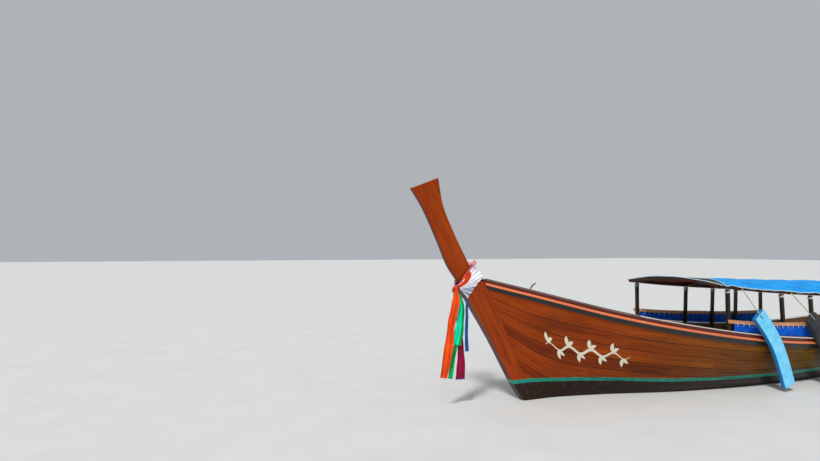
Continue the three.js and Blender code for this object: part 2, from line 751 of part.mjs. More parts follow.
// How far from the centre plane a post standing at x is at a height
function postY(x, z) {
  const footY = sheerAt(x).y - POST_FOOT_INSIDE;
  return footY + ((POST_HEAD_Y - footY) * (z - RISER_TOP)) / (postHeadZ(x) - RISER_TOP);
}

function canopyPost(x, side) {
  const [foot, head] = [RISER_TOP + GAP, postHeadZ(x)];
  const whole = post([x, side * postY(x, foot), foot], [x, side * POST_HEAD_Y, head], POST_SIZE);
  return common(whole, hullSpace(PLANK + 1, 1500));
}

const ROOF_BREAKS = ROOF.map((row) => row[0]);

// A curved layer under the roof's top surface, from one x to another and one y to another
function roofLayer(fore, aft, low, high, top, depth, spans) {
  const breaks = [fore, ...ROOF_BREAKS.filter((x) => x < fore && x > aft), aft];
  const rings = breaks.map((x) => {
    const upper = [];
    const lower = [];
    for (let i = 0; i <= spans; i += 1) {
      const y = low + ((high - low) * i) / spans;
      const z = roofHeight(x, y) - top;
      upper.push(new THREE.Vector3(x, y, z));
      lower.push(new THREE.Vector3(x, y, z - depth));
    }
    return [...upper, ...lower.reverse()];
  });
  return loft(rings);
}

function roofFrame() {
  const under = ROOF_THICKNESS + ROOF_GAP;
  const [railWidth, railDepth] = EAVE_RAIL;
  const fore = ROOF[0][0] - 5;
  const aft = ROOF[ROOF.length - 1][0] + 5;
  const strip = (y, width, depth) => roofLayer(fore, aft, y - width / 2, y + width / 2, under, depth, 1);
  const rail = (y) => strip(y, railWidth, railDepth);
  const batten = (y) => strip(y, ...BATTEN_SIZE);
  const hoop = (x) => (
    roofLayer(x + HOOP_WIDTH / 2, x - HOOP_WIDTH / 2, -POST_HEAD_Y, POST_HEAD_Y, under, HOOP_DEPTH, 6));
  const hoopX = [fore - HOOP_WIDTH / 2, ...POST_X, aft + HOOP_WIDTH / 2];
  return joined(rail(-POST_HEAD_Y), rail(POST_HEAD_Y), ...BATTEN_Y.map(batten), ...hoopX.map(hoop));
}

// The split between the covers at a distance across
const coverSplit = (y) => (
  (COVER_SPLIT_X[0] + COVER_SPLIT_X[1]) / 2 + ((COVER_SPLIT_X[0] - COVER_SPLIT_X[1]) * y) / (2 * ROOF_HALF));

// A cover whose fore and aft edges are functions of the distance across
function roofCover(fore, aft) {
  const rings = Array.from({ length: COVER_SPANS + 1 }, (_, i) => {
    const upper = [];
    const lower = [];
    for (let j = 0; j <= COVER_SPANS; j += 1) {
      const y = ROOF_HALF * ((2 * j) / COVER_SPANS - 1);
      const x = fore(y) + ((aft(y) - fore(y)) * i) / COVER_SPANS;
      upper.push(new THREE.Vector3(x, y, roofHeight(x, y)));
      lower.push(new THREE.Vector3(x, y, roofHeight(x, y) - ROOF_THICKNESS));
    }
    return [...upper, ...lower.reverse()];
  });
  return loft(rings);
}

// A strip along the boat on the outside of the posts, between two heights above the cap rail
function besidePosts(low, high, near, far) {
  const spans = 10;
  const rings = Array.from({ length: spans + 1 }, (_, i) => {
    const t = i / spans;
    const x = SIDE_RAIL_FORE_X + (SIDE_RAIL_AFT_X - SIDE_RAIL_FORE_X) * t;
    const capTop = topEdgeZ(x) + CAP_GAP + CAP_THICKNESS;
    const point = (z, out) => new THREE.Vector3(x, postY(x, z) + POST_SIZE / 2 + out, z);
    const [bottom, top] = [capTop + low(t), capTop + high(t)];
    return [point(bottom, near), point(bottom, far), point(top, far), point(top, near)];
  });
  return loft(rings);
}

const railRise = (t) => SIDE_RAIL_RISE[0] + (SIDE_RAIL_RISE[1] - SIDE_RAIL_RISE[0]) * Math.min(1, t * 2);

function sideRail() {
  const [width, height] = SIDE_RAIL_SECTION;
  return besidePosts((t) => railRise(t) - height, railRise, SIDE_RAIL_GAP, SIDE_RAIL_GAP + width);
}

function weatherCloth() {
  const height = SIDE_RAIL_SECTION[1];
  const near = SIDE_RAIL_GAP + (SIDE_RAIL_SECTION[0] - CLOTH_THICKNESS) / 2;
  return besidePosts(() => 8, (t) => railRise(t) - height - GAP, near, near + CLOTH_THICKNESS);
}

// Engine, swivel and tail

const PEDESTAL_X = PIVOT[0];
const BOLTED_GAP = 1;
const YOKE_BOTTOM = PEDESTAL_TOP + YOKE_OVER_PEDESTAL;

function lathe(profile, segments = 16) {
  const geometry = new THREE.LatheGeometry(profile.map(([r, z]) => new THREE.Vector2(r, z)), segments);
  return geometry.rotateX(Math.PI / 2);
}

// A bar along X on an axis at height z
function shaft([aft, fore], z, [aftRadius, foreRadius], sides = 16) {
  return bar([aft, 0, z], [fore, 0, z], aftRadius, foreRadius, sides);
}

// The same box on both sides, y from one distance to another
function pair([x0, x1], [near, far], [z0, z1]) {
  return [box([x0, near, z0], [x1, far, z1]), box([x0, -far, z0], [x1, -near, z1])];
}

function enginePedestal() {
  const foot = AFT_DECK_TOP + GAP;
  const bore = KINGPIN_RADIUS + PIN_CLEARANCE;
  const floor = PEDESTAL_TOP - PEDESTAL_BORE_DEPTH;
  const profile = [
    [0, foot], [PEDESTAL_FOOT_RADIUS, foot], [PEDESTAL_FOOT_RADIUS, foot + 14], [85, foot + 40],
    [PEDESTAL_RADIUS, foot + 120], [PEDESTAL_RADIUS, PEDESTAL_TOP - 30],
    [PEDESTAL_HEAD_RADIUS, PEDESTAL_TOP - 12], [PEDESTAL_HEAD_RADIUS, PEDESTAL_TOP],
    [bore, PEDESTAL_TOP], [bore, floor], [0, floor],
  ];
  return lathe(profile).translate(PEDESTAL_X, 0, 0);
}

function swivelYoke() {
  const [x, , z] = PIVOT;
  const [near, far] = YOKE_ARM_Y;
  const weld = YOKE_BOTTOM + YOKE_PLATE / 2;
  const plate = box(
    [x - YOKE_PLATE_HALF, -far, YOKE_BOTTOM], [x + YOKE_PLATE_HALF, far, YOKE_BOTTOM + YOKE_PLATE]);
  const arms = pair([x - YOKE_ARM_HALF, x + YOKE_ARM_HALF], [near, far], [weld, z + YOKE_ABOVE_EYE]);
  const kingpin = bar([x, 0, PEDESTAL_TOP - KINGPIN_DEPTH], [x, 0, weld], KINGPIN_RADIUS, KINGPIN_RADIUS, 20);
  const bore = TRUNNION_RADIUS + PIN_CLEARANCE;
  const eyes = bar([x, -2 * far, z], [x, 2 * far, z], bore, bore, 16);
  return cut(joined(plate, ...arms, kingpin), eyes);
}

function engineCradle() {
  const rails = pair(
    CRADLE_X, [CRADLE_RAIL_Y - CRADLE_RAIL_HALF, CRADLE_RAIL_Y + CRADLE_RAIL_HALF], CRADLE_RAIL_Z);
  const ties = CRADLE_TIE_X.map((x) => box(
    [x - CRADLE_RAIL_HALF, -CRADLE_RAIL_Y, CRADLE_TIE_Z[0]],
    [x + CRADLE_RAIL_HALF, CRADLE_RAIL_Y, CRADLE_TIE_Z[1]],
  ));
  const [x, y, z] = TRUNNION_BLOCK;
  const block = box([-x, -y, -TRUNNION_BLOCK_DEPTH], [x, y, z]);
  const pin = bar([0, -TRUNNION_HALF, 0], [0, TRUNNION_HALF, 0], TRUNNION_RADIUS, TRUNNION_RADIUS, 16);
  return joined(...rails, ...ties, block, pin);
}

function blockCasting() {
  const port = BLOCK_HALF_SECTION.map(([y, z]) => new THREE.Vector2(y, z));
  const starboard = BLOCK_HALF_SECTION.map(([y, z]) => new THREE.Vector2(-y, z)).reverse();
  const [aft, fore] = BLOCK_X;
  const geometry = new THREE.ExtrudeGeometry(
    new THREE.Shape([...port, ...starboard]), { depth: fore - aft, bevelEnabled: false });
  geometry.applyMatrix4(new THREE.Matrix4().makeBasis(
    new THREE.Vector3(0, 1, 0), new THREE.Vector3(0, 0, 1), new THREE.Vector3(1, 0, 0)));
  return geometry.translate(aft, 0, 0);
}

function fan() {
  const hub = shaft([BLOCK_X[1] - 10, FAN_HUB_END_X], FAN_AXIS_Z, [FAN_HUB_RADIUS, FAN_HUB_RADIUS], 12);
  const [thickness, width, length] = FAN_BLADE;
  const blades = Array.from({ length: FAN_BLADES }, (_, i) => (
    box([FAN_BLADE_X, -width / 2, 0], [FAN_BLADE_X + thickness, width / 2, length])
      .rotateX((i * 2 * Math.PI) / FAN_BLADES).translate(0, 0, FAN_AXIS_Z)));
  return [hub, ...blades];
}

function engineBlock() {
  const half = ENGINE_FOOT_HALF;
  const feet = ENGINE_FOOT_X.flatMap((x) => (
    pair([x - half, x + half], [CRADLE_RAIL_Y - 5 - half, CRADLE_RAIL_Y - 5 + half], ENGINE_FOOT_Z)));
  const pulley = shaft(PULLEY_X, CRANK_AXIS_Z, [PULLEY_RADIUS, PULLEY_RADIUS], 20);
  const [length, radius] = ALTERNATOR_SIZE;
  const [x, y, z] = ALTERNATOR_PLACE;
  const alternator = bar([x, y, z], [x + length, y, z], radius, radius, 16);
  const coverTop = HEAD_COVER[1][2];
  const [fillerHeight, fillerRadius] = FILLER_SIZE;
  const filler = bar(
    [FILLER_X, 0, coverTop - 5], [FILLER_X, 0, coverTop + fillerHeight], fillerRadius, fillerRadius, 14);
  return joined(
    blockCasting(), ...feet, pulley, ...fan(), alternator, box(...ALTERNATOR_BRACKET),
    box(...HEAD_COVER), filler,
  );
}

function radiator() {
  const legs = pair(
    RADIATOR_LEG_X, [CRADLE_RAIL_Y - RADIATOR_LEG_HALF, CRADLE_RAIL_Y + RADIATOR_LEG_HALF],
    [CRADLE_RAIL_Z[1] + BOLTED_GAP, RADIATOR_CORE[0][2] + 10]);
  const [x, y, z] = RADIATOR_CAP;
  const [height, radius] = RADIATOR_CAP_SIZE;
  const cap = bar([x, y, z], [x, y, z + height], radius, radius, 12);
  return joined(box(...RADIATOR_CORE), box(...RADIATOR_TANK), ...legs, cap);
}

// The drum sits on the head cover; its underside is cut clear of it
function airCleaner() {
  const drum = lathe(AIR_CLEANER_PROFILE, 20).translate(...AIR_CLEANER_PLACE, 0);
  const [low, high] = HEAD_COVER;
  return cut(drum, box([low[0], low[1] * 2, low[2]], [high[0] * 2, high[1] * 2, high[2] + BOLTED_GAP]));
}

const exhaust = () => joined(box(...EXHAUST_LOG), tube(EXHAUST_PATH, EXHAUST_RADIUS, 10, 10));

function gearbox() {
  const geometry = new THREE.LatheGeometry(GEARBOX_PROFILE.map(([r, x]) => new THREE.Vector2(r, x)), 24);
  geometry.rotateZ(-Math.PI / 2);
  const body = facingOut(toGeometry(toSolid(geometry.translate(0, 0, TAIL_AXIS_Z))));
  return joined(body, box(...GEARBOX_FOOT));
}

function tiller() {
  const grip = bar(...TILLER_GRIP, ...TILLER_GRIP_RADII, 12);
  return joined(tube(TILLER_PATH, TILLER_RADIUS, 8, 10), box(...TILLER_SOCKET), grip);
}

function tubeRadius(x) {
  const [aft, fore] = TUBE_X;
  return TUBE_RADII[0] + ((x - aft) / (fore - aft)) * (TUBE_RADII[1] - TUBE_RADII[0]);
}

// A ridge of rods over the tube, welded to bands round it
function brace() {
  const rod = (from, to) => bar(from, to, BRACE_ROD_RADIUS, BRACE_ROD_RADIUS, 6);
  const outer = (x) => tubeRadius(x) + BRACE_CLAMP_WALL;
  const foot = (x) => TAIL_AXIS_Z + outer(x) - BRACE_ROD_RADIUS / 3;
  const ridge = TAIL_AXIS_Z + BRACE_RISE;
  const bands = [...BRACE_POST_X, ...BRACE_END_X].map((x) => (
    shaft([x - BRACE_CLAMP_HALF, x + BRACE_CLAMP_HALF], TAIL_AXIS_Z, [outer(x), outer(x)], 12)));
  const posts = BRACE_POST_X.map((x) => rod([x, 0, foot(x)], [x, 0, ridge]));
  const [fore, aft] = BRACE_END_X;
  const line = [[fore, 0, foot(fore)], ...BRACE_POST_X.map((x) => [x, 0, ridge]), [aft, 0, foot(aft)]];
  return [...bands, ...posts, ...line.slice(1).map((point, i) => rod(line[i], point))];
}

function tailTube() {
  const run = shaft(TUBE_X, TAIL_AXIS_Z, TUBE_RADII);
  const collar = shaft(COLLAR_X, TAIL_AXIS_Z, COLLAR_RADII, 20);
  const bearing = shaft(BEARING_X, TAIL_AXIS_Z, BEARING_RADII);
  const skeg = sidePlate(
    SKEG_OUTLINE.map(([x, z]) => [PROPELLER_X + x, TAIL_AXIS_Z + z]), -SKEG_HALF, SKEG_HALF);
  return joined(collar, run, bearing, skeg, ...brace());
}

function propellerBlade(turn) {
  const rings = PROPELLER_SECTIONS.map(([radius, chord, pitch, thickness]) => {
    const [c, s] = [Math.cos(pitch) * chord / 2, Math.sin(pitch) * chord / 2];
    const [nx, ny] = [Math.sin(pitch) * thickness / 2, -Math.cos(pitch) * thickness / 2];
    return [
      new THREE.Vector3(c + nx, s + ny, radius), new THREE.Vector3(-c + nx, -s + ny, radius),
      new THREE.Vector3(-c - nx, -s - ny, radius), new THREE.Vector3(c - nx, s - ny, radius),
    ];
  });
  return loft(rings).rotateX(turn);
}

function propeller() {
  const hub = shaft(HUB_X, 0, HUB_RADII);
  const end = shaft(PROPELLER_SHAFT_X, 0, [PROPELLER_SHAFT_RADIUS, PROPELLER_SHAFT_RADIUS], 12);
  return joined(hub, end, propellerBlade(0), propellerBlade(Math.PI)).translate(PROPELLER_X, 0, TAIL_AXIS_Z);
}

// Fenders, sashes, wrap, anchor, fuel tank

// A flat slab whose middle line runs down through (x, z) points, at y from the centre plane.
// It starts at the share gathered of its width, and has it all a third of the way down.
function hungSlab(line, width, thickness, y, gathered = 1) {
  const path = smoothPath(line.map(([x, z]) => new THREE.Vector3(x, 0, z)));
  const steps = 8;
  const rings = Array.from({ length: steps + 1 }, (_, i) => {
    const centre = path.getPoint(i / steps);
    const along = path.getTangent(i / steps);
    const share = gathered + (1 - gathered) * Math.min(1, (3 * i) / steps);
    const side = new THREE.Vector3(along.z, 0, -along.x).multiplyScalar((share * width) / 2);
    return [[1, -1], [1, 1], [-1, 1], [-1, -1]].map(([across, out]) => (
      centre.clone().addScaledVector(side, across).setY(y + (out * thickness) / 2)));
  });
  return loft(rings);
}

function fender(line, hang) {
  const slab = hungSlab(line, FENDER_WIDTH, FENDER_THICKNESS, FENDER_Y);
  const [topX, topZ] = line[0];
  const start = [topX, FENDER_Y, topZ - ROPE_BELOW_FENDER_TOP];
  return joined(slab, bar(start, hang, FENDER_ROPE_RADIUS, FENDER_ROPE_RADIUS, 8));
}

function sashStrips() {
  const [topX, , topZ] = SASH_KNOT;
  return SASHES.map(([line, width, y]) => (
    hungSlab([[topX, topZ], ...line], width, SASH_THICKNESS, y, SASH_GATHERED)));
}

const ball = (sizes, place) => (
  new THREE.SphereGeometry(1, 14, 10).rotateX(Math.PI / 2).scale(...sizes).translate(...place));
const moved = (distance) => ([x, z]) => [x + distance, z];

// The space that the stem or the blade takes inside the wrap
function wrapHole(leading, aft, half) {
  const outline = [...leading.map(moved(WRAP_CLEARANCE)), ...aft.map(moved(-WRAP_CLEARANCE))];
  return sidePlate(outline, -half - 1, half + 1);
}

// The cloth round the stem head, its flowers, its knot and the sashes
function bowSashes() {
  const round = sidePlate(WRAP_OUTLINE, -WRAP_HALF, WRAP_HALF);
  const reach = WRAP_OUTLINE[3][0];
  const onStem = common(round, box([0, -reach, 0], [reach, reach, STEM_TOP_Z + WRAP_LAP]));
  const onBlade = sidePlate(WRAP_OUTLINE, -WRAP_HALF_ON_BLADE, WRAP_HALF_ON_BLADE);
  const flowers = ball([FLOWER_RADIUS, FLOWER_RADIUS, FLOWER_RADIUS], FLOWER_PLACE);
  const whole = joined(onStem, onBlade, flowers, ball(SASH_KNOT_SIZE, SASH_KNOT), ...sashStrips());
  return cut(
    whole, wrapHole(STEM_LEADING, STEM_INNER, STEM_HALF), wrapHole(BLADE_LEADING, BLADE_AFT, BLADE_HALF));
}

function anchor() {
  const [x, y, z] = ANCHOR_CROWN;
  const shank = bar(ANCHOR_CROWN, ANCHOR_RING, ...ANCHOR_SHANK_RADII, 10);
  const flukes = FLUKE_WAYS.map(([across, up]) => tube([
    ANCHOR_CROWN, [x + 70, y + across * 70, z + up * 60],
    [x + 20, y + across * 170, z + 15 + up * 150], [x - 60, y + across * 205, z + 35 + up * 180],
  ], FLUKE_RADIUS, 6, 6));
  return joined(shank, ...flukes);
}

function fuelTank() {
  const [length, width, height] = TANK_SIZE;
  const shape = new THREE.Shape();
  const [x, z] = [length / 2 - TANK_CORNER, height - TANK_CORNER];
  shape.absarc(x, TANK_CORNER, TANK_CORNER, -Math.PI / 2, 0);
  shape.absarc(x, z, TANK_CORNER, 0, Math.PI / 2);
  shape.absarc(-x, z, TANK_CORNER, Math.PI / 2, Math.PI);
  shape.absarc(-x, TANK_CORNER, TANK_CORNER, Math.PI, Math.PI * 1.5);
  const body = new THREE.ExtrudeGeometry(shape, { depth: width, bevelEnabled: false, curveSegments: 4 });
  return body.rotateX(Math.PI / 2).translate(...TANK_PLACE);
}

// The whole boat

const boat = new THREE.Group();
const add = (name, geometry, look) => boat.add(mesh(name, geometry, look));

add('keel_fore', keelFore(), material('teak', 0.6));
add('keel_aft', keelAft(), material('teak', 0.6));
add('stem', stem(), material('stem', 0.45));
add('prow_blade', prowBlade(), material('stem', 0.45));
// Adds both sides of a run of planking in the lengths that its butts leave
function addPlanking(run, planks, lengths, butts) {
  const ends = [-BUTT_HALF, ...butts, LAST + BUTT_HALF];
  lengths.forEach((length, i) => {
    const port = planks([ends[i] + BUTT_HALF, ends[i + 1] - BUTT_HALF]);
    add(`hull_${run}_${length}_port`, port, material('teak', 0.4));
    add(`hull_${run}_${length}_starboard`, mirroredGeometry(port), material('teak', 0.4));
  });
}
addPlanking('bottom', bottomPlanking, ['fore', 'aft'], BOTTOM_BUTTS);
addPlanking('side', sidePlanking, ['fore', 'middle', 'aft'], SIDE_BUTTS);
add('transom', transom(), material('teak', 0.45));
const rub = rubRail();
add('rub_rail_port', rub, material('rail', 0.4));
add('rub_rail_starboard', mirroredGeometry(rub), material('rail', 0.4));
const cap = capRail();
add('cap_rail_port', cap, material('cap', 0.5));
add('cap_rail_starboard', mirroredGeometry(cap), material('cap', 0.5));
add('frames', frames(), material('rib', 0.7));
add('floorboards', floorboards(), material('floor', 0.8));
add('foredeck', foredeck(), material('floor', 0.7));
add('aft_deck', aftDeck(), material('floor', 0.7));
THWART_BAYS.forEach((bay, i) => add(`thwart_${i + 1}`, thwart(bay), material('floor', 0.7)));
POST_X.forEach((x, i) => {
  add(`canopy_post_port_${i + 1}`, canopyPost(x, 1), material('post', 0.7));
  add(`canopy_post_starboard_${i + 1}`, canopyPost(x, -1), material('post', 0.7));
});
add('roof_frame', roofFrame(), material('batten', 0.7));
const roofFore = () => ROOF[0][0];
const roofAft = () => ROOF[ROOF.length - 1][0];
add('roof_cover_front', roofCover(roofFore, (y) => coverSplit(y) + GAP), material('canvas', 0.9));
add('roof_cover_rear', roofCover(coverSplit, roofAft), material('tarp', 0.6));
add('side_rail_port', sideRail(), material('batten', 0.6));
add('side_rail_starboard', mirroredGeometry(sideRail()), material('batten', 0.6));
add('weather_cloth_port', weatherCloth(), material('cloth', 0.8));
add('weather_cloth_starboard', mirroredGeometry(weatherCloth()), material('cloth', 0.8));

add('engine_pedestal', enginePedestal(), material('steel', 0.5, 0.7));
add('swivel_yoke', swivelYoke(), material('steel', 0.5, 0.7));

const power = new THREE.Group();
power.position.set(...PIVOT);
power.rotation.y = -TAIL_ANGLE;
boat.add(power);
const engine = new THREE.Group();
engine.position.x = ENGINE_FORWARD;
power.add(engine);
const addPower = (name, geometry, look) => power.add(mesh(name, geometry, look));
const addEngine = (name, geometry, look) => engine.add(mesh(name, geometry, look));
addPower('engine_cradle', engineCradle(), material('steel', 0.5, 0.7));
addEngine('engine_block', engineBlock(), material('engine', 0.5, 0.4));
addEngine('radiator', radiator(), material('radiator', 0.5, 0.3));
addEngine('air_cleaner', airCleaner(), material('radiator', 0.4, 0.3));
addEngine('exhaust_pipe', exhaust(), material('steel', 0.7, 0.7));
addEngine('gearbox', gearbox(), material('steel', 0.5, 0.6));
addEngine('tiller', tiller(), material('steel', 0.4, 0.7));
addPower('tail_tube', tailTube(), material('steel', 0.4, 0.7));
addPower('propeller', propeller(), material('brass', 0.35, 0.9));

add('fender_blue', fender(FENDER_BLUE_LINE, FENDER_HANG[0]), material('fender', 0.5));
add('fender_black', fender(FENDER_BLACK_LINE, FENDER_HANG[1]), material('rubber', 0.7));
add('bow_sashes', bowSashes(), material('orange', 0.8));
add('anchor', anchor(), material('steel', 0.7, 0.6));
add('fuel_tank', fuelTank(), material('tank', 0.6));

export default boat;
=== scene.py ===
import math
import random
from functools import lru_cache

import bmesh
import bpy
import numpy as np
from mathutils import Matrix, Vector


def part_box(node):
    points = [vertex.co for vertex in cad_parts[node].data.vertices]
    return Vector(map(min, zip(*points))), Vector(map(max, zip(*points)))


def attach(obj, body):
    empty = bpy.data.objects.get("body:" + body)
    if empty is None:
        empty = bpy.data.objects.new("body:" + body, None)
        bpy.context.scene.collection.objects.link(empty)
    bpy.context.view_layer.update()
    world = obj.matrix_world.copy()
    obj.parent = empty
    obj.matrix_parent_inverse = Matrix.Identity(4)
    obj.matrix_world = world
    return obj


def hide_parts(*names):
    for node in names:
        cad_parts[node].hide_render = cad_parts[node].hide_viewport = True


# A longtail boat afloat. Metres, +X to the bow, +Y to port, +Z up, z = 0 at the waterline.
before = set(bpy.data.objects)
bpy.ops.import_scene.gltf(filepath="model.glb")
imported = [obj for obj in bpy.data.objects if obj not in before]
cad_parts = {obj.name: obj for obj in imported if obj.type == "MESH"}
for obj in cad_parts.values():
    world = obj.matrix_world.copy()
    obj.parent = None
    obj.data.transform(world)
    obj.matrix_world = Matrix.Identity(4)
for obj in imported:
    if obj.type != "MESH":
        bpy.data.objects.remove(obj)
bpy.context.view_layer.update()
chance = random.Random(7)

# Hull stations from stem to transom: keel points, control points of the bilge, sheer points
KEEL = (
    (4.13, 0.075, -0.03), (3.55, 0.046, -0.13), (2.85, 0.046, -0.22), (1.9, 0.046, -0.29),
    (0.6, 0.046, -0.33), (-0.8, 0.046, -0.33), (-2.2, 0.046, -0.25), (-3.4, 0.046, -0.17),
    (-4.25, 0.046, -0.08),
)
BILGE = (
    (4.54, 0.073, 0.85), (3.88, 0.17, 0.25), (2.95, 0.36, 0.07), (1.9, 0.74, -0.02),
    (0.6, 0.93, -0.06), (-0.8, 0.97, -0.05), (-2.2, 0.85, 0.02), (-3.4, 0.71, 0.04),
    (-4.288, 0.54, 0.1),
)
SHEER = (
    (4.946, 0.075, 1.735), (4.35, 0.4, 1.57), (3.2, 0.755, 1.272), (2.0, 0.955, 1.032),
    (0.6, 1.06, 0.823), (-0.8, 1.08, 0.705), (-2.2, 1.02, 0.685), (-3.4, 0.88, 0.76),
    (-4.45, 0.7, 0.87),
)
LAST = len(KEEL) - 1
KEEL_SIDE = 0.0455
PLANK = 0.03
BULWARK = 0.045
BILGE_SEAM = 0.26
SEAM_GAP = 0.0012
BOTTOM_SEAMS = (0.13,)
SIDE_SEAMS = (0.365, 0.47, 0.575, 0.68, 0.78, 0.875)
SEAM_HALF = 0.0022
SEAM_DEPTH = 0.0035
FINE = 20
MERGE = 2e-6
KEEL_BEAM = ((-0.0445, 0.006), (0.0445, 0.006), (0.0445, -0.055), (-0.0445, -0.055))
KEEL_FORE_END = 3.899
TRANSOM_FACES = (0.0004, 0.0404)

# Stem and prow blade in side view, (x, z)
STEM_LEADING = (
    (3.9, -0.12), (4.13, -0.095), (4.3, 0.0), (4.48, 0.244), (4.85, 0.9), (5.24, 1.523), (5.375, 1.77),
)
STEM_INNER = ((5.06, 1.77), (4.89, 1.735), (4.48, 0.85), (4.07, -0.03), (3.9, -0.051))
RABBET = ((5.063, 1.77), (4.95, 1.74), (4.132, -0.034))
STEM_TONGUE_HALF = 0.044
STEM_HALF = 0.074
BLADE_LEADING = ((5.377, 1.7704), (5.53, 1.99), (5.68, 2.327), (5.89, 2.76), (6.08, 3.053))
BLADE_AFT = ((5.67, 3.213), (5.59, 2.81), (5.4, 2.388), (5.24, 2.088), (5.063, 1.7704))
BLADE_HALF = 0.035
STEM_GRAIN = (0.45, 0.9)

# Rails, as (out, up) from the sheer line; the cap from the top edge
# The black strake fills the band under the rub rail: black paint, and partly the rail's shadow painted in as
# black
STRAKE_AND_SHADOW_CORNERS = ((-0.004, -0.11), (0.015, -0.04))
CAP_CORNERS = ((-0.05, 0.0035), (0.038, 0.0215))
CAP_DARK_EDGE = 0.036
CAP_DARK_FROM = 2.9

# Inside of the hull
RIB_STATIONS = (1, 1.5, 2, 2.5) + tuple(3 + i / 4 for i in range(20))
RIB_WIDTH = 0.04
RIB_OUTER = 0.037
RIB_INNER = 0.078
RIB_TOPS = (0.8, 1.0, 0.78)
FORE_RIBS_BEFORE = 2.75
AFT_RIBS_FROM = -2.65
RISER_STATIONS = (1, 7.75)
RISER_INNER = 0.1
RISER = (0.265, 0.32)
FLOOR_X = (-2.9, 2.3)
FLOOR_Z = (-0.082, -0.06)
FLOOR_BOARD = 0.145
DECK_BOARD = 0.125
DECK_THICKNESS = 0.026
FOREDECK_AFT_END = 2.5
FOREDECK_FORE_STATION = 0.35
FOREDECK_DROP = 0.075
AFT_DECK_X = (-2.75, -4.35)
AFT_DECK_TOP = 0.6
BOARD_GAP = 0.005

# Canopy: rows of x, eave z, crown z; timbers as half width and depth; what runs along as fore and aft x
ROOF = (
    (1.37, 1.67, 1.767), (0.54, 1.588, 1.722), (-0.5, 1.512, 1.68), (-1.3, 1.465, 1.65), (-2.13, 1.438, 1.628),
)
ROOF_HALF = 1.0
ROOF_UNDER = 0.017
EAVE_RAIL = (0.03, 0.04)
ROOF_BATTEN = (0.025, 0.02)
ROOF_HOOP = (0.0225, 0.042)
BATTEN_Y = (-0.48, 0.0, 0.48)
POST_X = (1.2, 0.0, -0.7, -1.33, -2.03)
POST_SIZE = 0.05
POST_HEAD_Y = 0.945
POST_FOOT_INSIDE = 0.08
COVER_THICKNESS = 0.004
COVER_SAG = 0.012
TARP_EDGE = ((1.3, 1.0), (-0.14, -1.0))
COVER_OVERLAP = 0.25
SIDE_RAIL_X = (1.24, -2.08)
SIDE_RAIL_DEPTH = 0.055
SIDE_RAIL_OUT = (0.003, 0.033)
SIDE_RAIL_HEIGHT = 0.165
SIDE_RAIL_RISE = 0.065
SIDE_CLOTH_X = (1.12, -2.08)
TIE_X = tuple(1.06 - 0.122 * i for i in range(26))

# Vine on the bow: its middle as station and girth, and the metres in one of each
ORNAMENT_PLACE = (1.62, 0.70)
ORNAMENT_METRES = (1.16, 1.55)

# Fenders: the middle of each board from its top to its foot, (x, z), and the x where its rope hangs
FENDER_BLUE_LINE = ((0.847, 1.224), (0.629, 0.977), (0.457, 0.729), (0.330, 0.459), (0.195, 0.090))
FENDER_BLACK_LINE = ((-0.347, 1.141), (-0.550, 0.885), (-0.704, 0.620), (-0.810, 0.350), (-0.905, 0.050))
FENDER_BLUE_HANGS = 0.93
FENDER_BLACK_HANGS = -0.19
FENDER_SIZE = (0.24, 0.07)
FENDER_Y = 1.172
FENDER_HOLE_DEPTH = 0.07
FENDER_HOLE_RADIUS = 0.016
ROPE_RADIUS = 0.007

# Cloths on the bow
KNOT = (5.40, 0.0, 1.645)
CLOTH = 0.0026
SASH_PLEAT = 0.0075
SASH_ROWS = 90
SASH_COLUMNS = 41
WRAP_FRONT = ((5.392, 1.712), (5.352, 1.635))
WRAP_BACK = ((5.150, 2.022), (5.060, 1.925), (4.995, 1.835), (5.110, 1.690), (5.250, 1.512))
STEM_AND_BLADE_HALF = (0.080, 0.046)
FLOWERS = (5.140, 0.062, 2.015)
STRAND = (
    (5.165, 0.075, 1.985), (5.205, 0.070, 1.930), (5.270, 0.078, 1.850), (5.340, 0.098, 1.765),
    (5.388, 0.060, 1.690),
)

# Anchor and fuel tank
ANCHOR_CROWN = (3.99, -0.15, 1.485)
ANCHOR_RING = (3.37, -0.17, 1.38)
SHANK_RADII = (0.015, 0.013)
CHOCK_X = (3.900, 3.440)
CHOCK_SIZE = (0.06, 0.11)
CHOCK_FOOT = 0.012
CHOCK_CHAMFER = (0.008, 0.004)
LASHING_RADIUS = 0.0052
TANK_PLACE = (-3.35, -0.12, 0.601)
TANK_SIZE = (0.23, 0.38, 0.3)
TANK_ROUND = 0.03

# Engine set: its frame is tilted about the trunnion, tail towards -X
PIVOT = (-4.08, 0.0, 1.35)
TAIL_ANGLE = math.radians(14)
ENGINE_FORWARD = 0.18
POWER = Matrix.Translation(PIVOT) @ Matrix.Rotation(-TAIL_ANGLE, 4, "Y")
ENGINE = POWER @ Matrix.Translation((ENGINE_FORWARD, 0, 0))
PEDESTAL_TOP = 1.175
YOKE_ARM = (0.2, 0.228)
SHAFT_Z = 0.275
BLOCK_X = (-0.26, 0.34)
BELT_X = 0.3525
FAN_Z = 0.37
# Columns: radius, chord, the chord's angle from the axis, thickness
FAN_BLADE = (
    (0.018, 0.026, 1.1, 0.003), (0.06, 0.044, 1.16, 0.002), (0.12, 0.052, 1.22, 0.002),
    (0.165, 0.046, 1.26, 0.0016),
)
PROPELLER_BLADE = (
    (0.015, 0.046, 0.5, 0.012), (0.06, 0.072, 0.75, 0.009), (0.11, 0.084, 0.95, 0.007),
    (0.15, 0.062, 1.1, 0.005), (0.168, 0.038, 1.14, 0.004), (0.172, 0.016, 1.15, 0.003),
)
PROPELLER_X = -3.9
